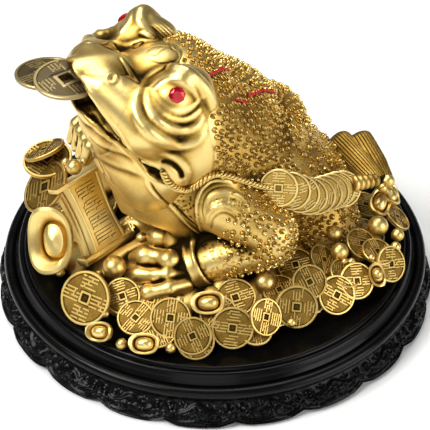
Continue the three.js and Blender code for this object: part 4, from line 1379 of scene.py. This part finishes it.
def make_plaque():
    """A moulded section carried up the tablet: across it is scaled by the width at that height,
    which is least half way up, and out it follows the two steps of the broad border, the panel,
    and the narrow border."""
    up = PLAQUE_HEAD - PLAQUE_FOOT
    tall = np.linalg.norm(up)
    section = [
        (-0.5, -5.0, 0.3), (-0.5, -1.6, 0.3), (-0.495, -0.6, 0.2), (-0.48, -0.1, 0.05), (-0.44, 1.0, 0.03),
        (-0.425, 1.1, 0.5), (-0.415, 1.5, 0.4), (-0.4, 1.9, 0.05), (-0.33, 3.4, 0.02), (-0.29, 3.6, 0.02),
        (-0.28, 3.3, 0.35), (-0.27, 2.9, 0.4), (-0.25, 2.9, 0.14), (PANEL_MIDDLE, 2.9, 0.1),
        (0.36, 2.9, 0.14), (0.38, 2.9, 0.4), (0.39, 3.3, 0.35), (0.405, 3.6, 0.03), (0.445, 3.6, 0.03),
        (0.47, 3.0, 0.1), (0.49, 0.0, 0.3), (0.5, -5.0, 0.4),
    ]
    levels, count = 25, len(section)
    share = np.linspace(0, 1, levels)
    wide = PLAQUE_WIDTH - PLAQUE_WAIST * (1 - (2 * share - 1) ** 2)
    rows = []
    for across_share, out, _ in section:
        rows.append(np.stack([wide * across_share, (share - 0.5) * tall, np.full(levels, out)], 1))
    points = np.stack(rows, 1).reshape(-1, 3)
    tones = np.tile([row[2] for row in section], levels)
    ends = [np.arange(count)[None, ::-1], np.arange(count)[None] + (levels - 1) * count]
    walls = grid_faces(levels, count, wrap_columns=True)
    tablet = [(points, [walls[:, ::-1], *[end[:, ::-1] for end in ends]], tones)]
    source = np.random.default_rng(31)
    for middle, wide in ((0.19, 13.5), (0.4, 12.0), (0.61, 12.5), (0.82, 13.0)):
        boxes = stroke_rows(wide, tall * 0.185, 4, 1.0, source)
        made, faces, hollow = bars_of(boxes, 2.7, 3.7, 0.35)
        made += [PANEL_MIDDLE * PLAQUE_WIDTH, (middle - 0.5) * tall, 0]
        tablet.append((made, [faces], hollow))
    bars, sides = [], 24
    for height, grow in ((-0.5, 1.0), (0.5, 0.6)):
        angle = np.linspace(0, 2 * math.pi, sides, endpoint=False)
        half_wide, half_deep, half_tall = PLAQUE_WIDTH / 2 + 3.2 * grow, 5.6, 2.5 * grow
        rounding = [np.sign(turn) * np.abs(turn) ** 0.4 for turn in (np.sin(angle), np.cos(angle))]
        ring = np.stack([0 * angle, rounding[0] * half_tall, rounding[1] * half_deep], 1)
        stations = [(-1.0, 0.0), (-1.0, 0.8), (-0.985, 1.0), (0.985, 1.0), (1.0, 0.8), (1.0, 0.0)]
        made = np.concatenate([ring * s + [half_wide * x, height * tall, -0.6] for x, s in stations])
        bars.append((made, [grid_faces(len(stations), sides, wrap_columns=True)], np.full(len(made), 0.08)))
    up = up / tall
    out = np.cross(PLAQUE_LEVEL, up)
    out /= np.linalg.norm(out)
    axes = np.stack([np.cross(up, out), up, out], 1)
    for name, shapes, finish in (("chest_plaque", tablet, struck), ("plaque_bars", bars, gilt)):
        points, faces, tones = gather(shapes)
        points = points @ axes.T + (PLAQUE_FOOT + PLAQUE_HEAD) / 2
        cast_piece(name, [(points, faces, tones)], finish, 35)


make_plaque()

# The string of coins. A cord of three twisted strands comes out of the mouth's corner, crosses the
# neck and the shoulder, and runs through nine coins that lie on the flank like fallen dominoes. Its
# end is bound in rings. All of it is cast with the toad.
def square_to(path):
    """Two unit directions at each point of a path: level and square to it, and square to both."""
    tangent = np.gradient(path, axis=0)
    tangent /= np.linalg.norm(tangent, axis=1, keepdims=True)
    side = np.cross(tangent, (0, 0, 1))
    side /= np.linalg.norm(side, axis=1, keepdims=True)
    return side, np.cross(side, tangent)


def twisted(path, radius, strands, pitch):
    """Strands that wind about a path: each is a small round rod whose middle turns about the path
    once in every pitch. The rods are open at both ends."""
    path = smoothed(path, 0.55)
    side, rise = square_to(path)
    length = np.concatenate([[0], np.cumsum(np.linalg.norm(np.diff(path, axis=0), axis=1))])
    shapes, sides = [], 8
    around = np.arange(sides) * 2 * math.pi / sides
    for strand in range(strands):
        turn = 2 * math.pi * (length / pitch + strand / strands)
        core = path + radius * 0.5 * (np.cos(turn)[:, None] * side + np.sin(turn)[:, None] * rise)
        skin = core[:, None] + radius * 0.52 * (
            np.cos(around)[None, :, None] * side[:, None] + np.sin(around)[None, :, None] * rise[:, None]
        )
        out = ((skin - path[:, None]) ** 2).sum(-1) ** 0.5 / radius
        tones = np.clip(0.95 - 0.9 * out, 0.05, 0.85).ravel()
        faces = grid_faces(len(path), sides, wrap_columns=True)
        shapes.append((skin.reshape(-1, 3), [faces[:, ::-1]], tones))
    return shapes


def figure_skin(p):
    """The whole toad's skin."""
    return np.minimum(head(p), body(p))


ROPE = [
    (163, 171), (168, 182), (178, 189), (188, 190), (197, 186), (205, 180), (214, 175), (224, 175),
    (236, 178), (248, 182), (260, 186), (272, 188), (281, 189),
]
ROPE_RADIUS = 1.9
ROPE_PITCH = 7.5
STRING = [
    (279, 188), (292, 191), (301, 194), (309, 196), (317, 196), (324, 194), (331, 192), (337, 190),
    (343, 189),
]
STRUNG_COIN = 22.5
STRUNG_THICKNESS = 2.2
STRUNG_GAP = 5.2
STRING_END = at_height((352, 184), 84), at_height((378, 180), 79)
lifted = on_skin(lambda p: figure_skin(p) - 1.3, smoothed(ROPE, 6))
cast_piece("coin_cord", twisted(lifted, ROPE_RADIUS, 3, ROPE_PITCH), gilt, 60)

strung = []
first = on_skin(lambda p: figure_skin(p) - 4, STRING[:1])[0]
ray = sight_lines(STRING)
for index in range(len(STRING)):
    depth = np.linalg.norm(first - eye) + STRUNG_GAP * index
    # These coins are toned paler than the others, a painted light for coins that hang on the flank.
    shape = coin(STRUNG_COIN, STRUNG_THICKNESS, 60 + index, paler=0.12)
    facing = (0.82, -0.44 + 0.04 * index, 0.5)
    strung.append(put(shape, eye + ray[:, index] * depth, facing, 0.35 * index))
cast_piece("strung_coins", strung, struck, 40)


def turned_rod(path, radii, sides, tone_low=0.16, tone_high=0.66):
    """A round rod along a path with a half width at each of its points. Narrow places are toned
    as hollows."""
    path, radii = np.array(path, float), np.array(radii, float)
    side, rise = square_to(path)
    angle = np.arange(sides) * 2 * math.pi / sides
    ring = np.cos(angle)[:, None] * side[:, None] + np.sin(angle)[:, None] * rise[:, None]
    points = (path[:, None] + ring * radii[:, None, None]).reshape(-1, 3)
    tones = np.repeat(np.interp(radii, [radii[1:-1].min(), radii.max()], [tone_high, tone_low]), sides)
    return points, [grid_faces(len(path), sides, wrap_columns=True)[:, ::-1]], tones


def bound_end():
    """Five rings of cord side by side, then a knob: the half width swings once a ring."""
    start, stop = STRING_END
    share = np.linspace(0, 1, 61)
    radii = 4.4 + 0.9 * np.abs(np.sin(share * math.pi * 5)) - 1.4 * share
    radii[0] = radii[-1] = 0.01
    return turned_rod(start + (stop - start) * share[:, None], radii, 20)


# The third leg, cast with the toad. Three broad webbed toes fan up from one heel behind it, each
# ribbed along its length like a shell. The bound end of the coin string lies over the heel.
RIB_DEPTH = 0.06
# Each toe's heel and tip as a point of the picture and a height, its half width, its half thickness
# and its ribs. The pearls at the heel have a point, a size and a height.
TOES = [
    ((378, 182), 70, (334, 137), 77, 8.8, 5.6, 26),
    ((384, 180), 68, (355, 135), 79, 9.0, 5.8, 26),
    ((372, 180), 66, (327, 160), 70, 7.4, 4.8, 24),
]
HEEL_PEARLS = [(388, 181, 9, 68), (383, 188, 6, 68)]


def toe(heel, tip, wide, thick, ribs, lean):
    """A flattened lobe: from a narrow heel it swells to its full width near the tip and rounds
    over. Across, it is an oval whose radius dips at every rib."""
    heel, tip = np.array(heel, float), np.array(tip, float)
    last = 0.85 + 0.15 * np.sin(np.linspace(0.1, 1, 9) * math.pi / 2)
    share = np.concatenate([np.linspace(0, 0.85, 18), last])
    swell = np.interp(share, [0, 0.3, 0.75, 0.86], [0.7, 0.92, 1.0, 1.0])
    swell = swell * np.sqrt(np.clip(1 - np.clip((share - 0.84) / 0.16, 0, 1) ** 2.6, 0, 1))
    sides = ribs * 6
    angle = np.arange(sides) * 2 * math.pi / sides
    groove = 1 - RIB_DEPTH * (1 - np.abs(np.sin(angle * ribs / 2))) ** 2
    way = (tip - heel) / np.linalg.norm(tip - heel)
    side = np.cross(way, lean)
    side /= np.linalg.norm(side)
    rise = np.cross(side, way)
    path = heel + (tip - heel) * share[:, None] + rise * (1.6 * np.sin(share * math.pi))[:, None]
    ring = groove[:, None] * (np.cos(angle)[:, None] * side * wide + np.sin(angle)[:, None] * rise * thick)
    points = (path[:, None] + ring * np.maximum(swell, 0.01)[:, None, None]).reshape(-1, 3)
    tones = np.tile(np.interp(groove, [1 - RIB_DEPTH, 1], [0.85, 0.5]), len(share))
    return points, [grid_faces(len(share), sides, wrap_columns=True)[:, ::-1]], tones


foot = []
for heel, low, tip, high, wide, thick, ribs in TOES:
    foot.append(toe(at_height(heel, low), at_height(tip, high), wide, thick, ribs, back))
foot.append(bound_end())
for x, y, size, height in HEEL_PEARLS:
    foot.append(put(pearl(size), at_height((x, y), height), (0, 0, 1)))
cast_piece("third_foot", foot, gilt, 50)

# The star marks. Three short lines of red enamel are painted over the warts on the back. The brush
# left them thick and thin, and the enamel is smooth enough to catch small lights.
MARKS = [
    [(206, 78), (214, 73), (224, 69), (230, 71)],
    [(236, 99), (242, 101), (248, 104)],
    [(249, 96), (257, 93), (265, 90), (275, 92)],
]
enamel, tree, output = new_finish("red enamel")
shader = add(tree, "ShaderNodeBsdfPrincipled", {"Base Color": linear("#b3141a"), "Roughness": 0.3})
tree.links.new(shader.outputs["BSDF"], output.inputs["Surface"])
marks = []
for line in MARKS:
    path = smoothed(on_skin(lambda p: body(p) - 1.3, smoothed(line, 3)), 1.0)
    wobble = 0.75 + 0.3 * np.sin(np.arange(len(path)) * 1.9)
    wobble[0] = wobble[-1] = 0.01
    marks.append(turned_rod(path, wobble, 8))
points, faces, _ = gather(marks)
make_piece("star_marks", points, faces, enamel, 60)

# The eyes. Each is a cut red stone on bright foil, set in the slit between the lids: a flat table,
# two rows of crown facets and their girdle. The foil throws light back through the red glass.
stone, tree, output = new_finish("foiled red glass")
shader = add(
    tree,
    "ShaderNodeBsdfPrincipled",
    {
        "Base Color": linear("#b8081a"),
        "Metallic": 0.6,
        "Roughness": 0.15,
        "Coat Weight": 0.6,
        "Coat Roughness": 0.02,
    },
)
tree.links.new(shader.outputs["BSDF"], output.inputs["Surface"])


def cut_stone(name, node, at, facing):
    """Rings of eight corners: the underside, the girdle, the crown turned half a step, and the
    table."""
    rings = [(4.75, -1.5, 0), (4.8, 0.0, 0), (3.9, 1.1, 0.5), (2.6, 1.7, 0)]
    corners = []
    for radius, height, step in rings:
        angle = (np.arange(8) + step) * math.pi / 4
        corners.append(np.stack([radius * np.cos(angle), radius * np.sin(angle), np.full(8, height)], 1))
    points = np.concatenate(corners) @ stance(facing).T + at
    crown = grid_faces(4, 8, wrap_columns=True)
    triangles = np.concatenate([crown[:, [0, 1, 2]], crown[:, [0, 2, 3]]])
    underside, table = np.arange(8)[None, ::-1], np.arange(8)[None] + 24
    piece = make_piece(name, points, [triangles, underside, table], stone, 1)
    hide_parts(node)


for name, side in (("left", 1), ("right", -1)):
    low, high = (np.array(corner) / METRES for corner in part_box("eye_gem_" + name))
    cut_stone("stone_" + name, "eye_gem_" + name, (low + high) / 2, (0.86 * side, -0.24, 0.45))

# The two loose coins in the mouth. They are struck in bronze, pierced with a square hole and
# darkened, and handling has rubbed the rims and the strokes bright. They lie loose over one another.
bronze, tree, output = new_finish("antiqued bronze")
place = add(tree, "ShaderNodeTexCoord")
hollow = add(tree, "ShaderNodeAttribute", attribute_name="hollow")
grain = add(tree, "ShaderNodeTexNoise", {"Vector": place.outputs["Object"], "Scale": 900.0, "Detail": 3.0})
tone = add(tree, "ShaderNodeValToRGB", {"Fac": hollow.outputs["Fac"]})
ramp = tone.color_ramp
ramp.elements[0].position, ramp.elements[0].color = 0.12, linear("#c0ab78")
ramp.elements[1].position, ramp.elements[1].color = 0.5, linear("#6b5e45")
bump = add(tree, "ShaderNodeBump", {"Height": grain.outputs["Fac"], "Strength": 0.4, "Distance": 0.0003})
shader = add(
    tree,
    "ShaderNodeBsdfPrincipled",
    {
        "Base Color": tone.outputs["Color"],
        "Metallic": 1.0,
        "Roughness": 0.42,
        "Normal": bump.outputs["Normal"],
    },
)
tree.links.new(shader.outputs["BSDF"], output.inputs["Surface"])
MOUTH_TIP = math.radians(8)
LOOSE_COIN = 37.8
LOOSE_THICKNESS = 2.2
for name, spin, facing in (
    ("lower", 0.6, (-0.93 * math.sin(MOUTH_TIP), 0.36 * math.sin(MOUTH_TIP), math.cos(MOUTH_TIP))),
    ("upper", 0.2, (0, 0, 1)),
):
    low, high = (np.array(corner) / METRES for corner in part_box("mouth_coin_" + name))
    shape = coin(LOOSE_COIN, LOOSE_THICKNESS, 80 + int(10 * spin), 64, pierced=True)
    placed = put(shape, (low + high) / 2, facing, spin)
    loose = cast_piece("loose_coin_" + name, [placed], bronze, 40)
    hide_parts("mouth_coin_" + name)

# The room. A floor of matt white paper runs out past the picture, and four large soft panels light
# it: a key high at the left, a fill low at the right, a weak one low in front, and one behind the
# figure, nearly overhead. The floor's reach and the panels' sizes and distances are in metres.
floor_mesh = bpy.data.meshes.new("floor")
reach = 4.0
corners = [(-reach, -reach, 0), (reach, -reach, 0), (reach, reach, 0), (-reach, reach, 0)]
floor_mesh.from_pydata(corners, [], [(0, 1, 2, 3)])
floor = bpy.data.objects.new("floor", floor_mesh)
bpy.context.scene.collection.objects.link(floor)
paper, tree, output = new_finish("matt white paper")
shader = add(tree, "ShaderNodeBsdfPrincipled", {"Base Color": linear("#f4f4f2"), "Roughness": 0.9})
tree.links.new(shader.outputs["BSDF"], output.inputs["Surface"])
floor_mesh.materials.append(paper)


def soft_light(name, azimuth, elevation, distance, size, power):
    """A square panel of light that faces the figure from an azimuth and an elevation in degrees."""
    a, e = math.radians(azimuth), math.radians(elevation)
    towards = np.array([math.sin(a) * math.cos(e), -math.cos(a) * math.cos(e), math.sin(e)])
    lamp = bpy.data.lights.new(name, "AREA")
    lamp.shape, lamp.size, lamp.energy = "SQUARE", size, power
    light = bpy.data.objects.new(name, lamp)
    side = np.cross((0, 0, 1), towards)
    side /= np.linalg.norm(side)
    facing = Matrix([side, np.cross(towards, side), towards]).transposed().to_4x4()
    light.matrix_world = Matrix.Translation(LOOKED_AT * METRES + towards * distance) @ facing
    bpy.context.scene.collection.objects.link(light)


soft_light("key", 5, 50, 1.3, 0.6, 15)
soft_light("fill", 126, 18, 1.4, 0.9, 10)
soft_light("front", 62, 12, 1.6, 0.9, 4)
soft_light("top", 260, 72, 1.4, 1.0, 14)
world = bpy.data.worlds.new("room")
world.use_nodes = True
world.node_tree.nodes["Background"].inputs["Color"].default_value = linear("#f6f6f4")
world.node_tree.nodes["Background"].inputs["Strength"].default_value = 0.1
bpy.context.scene.world = world
bpy.context.scene.view_settings.view_transform = "Standard"
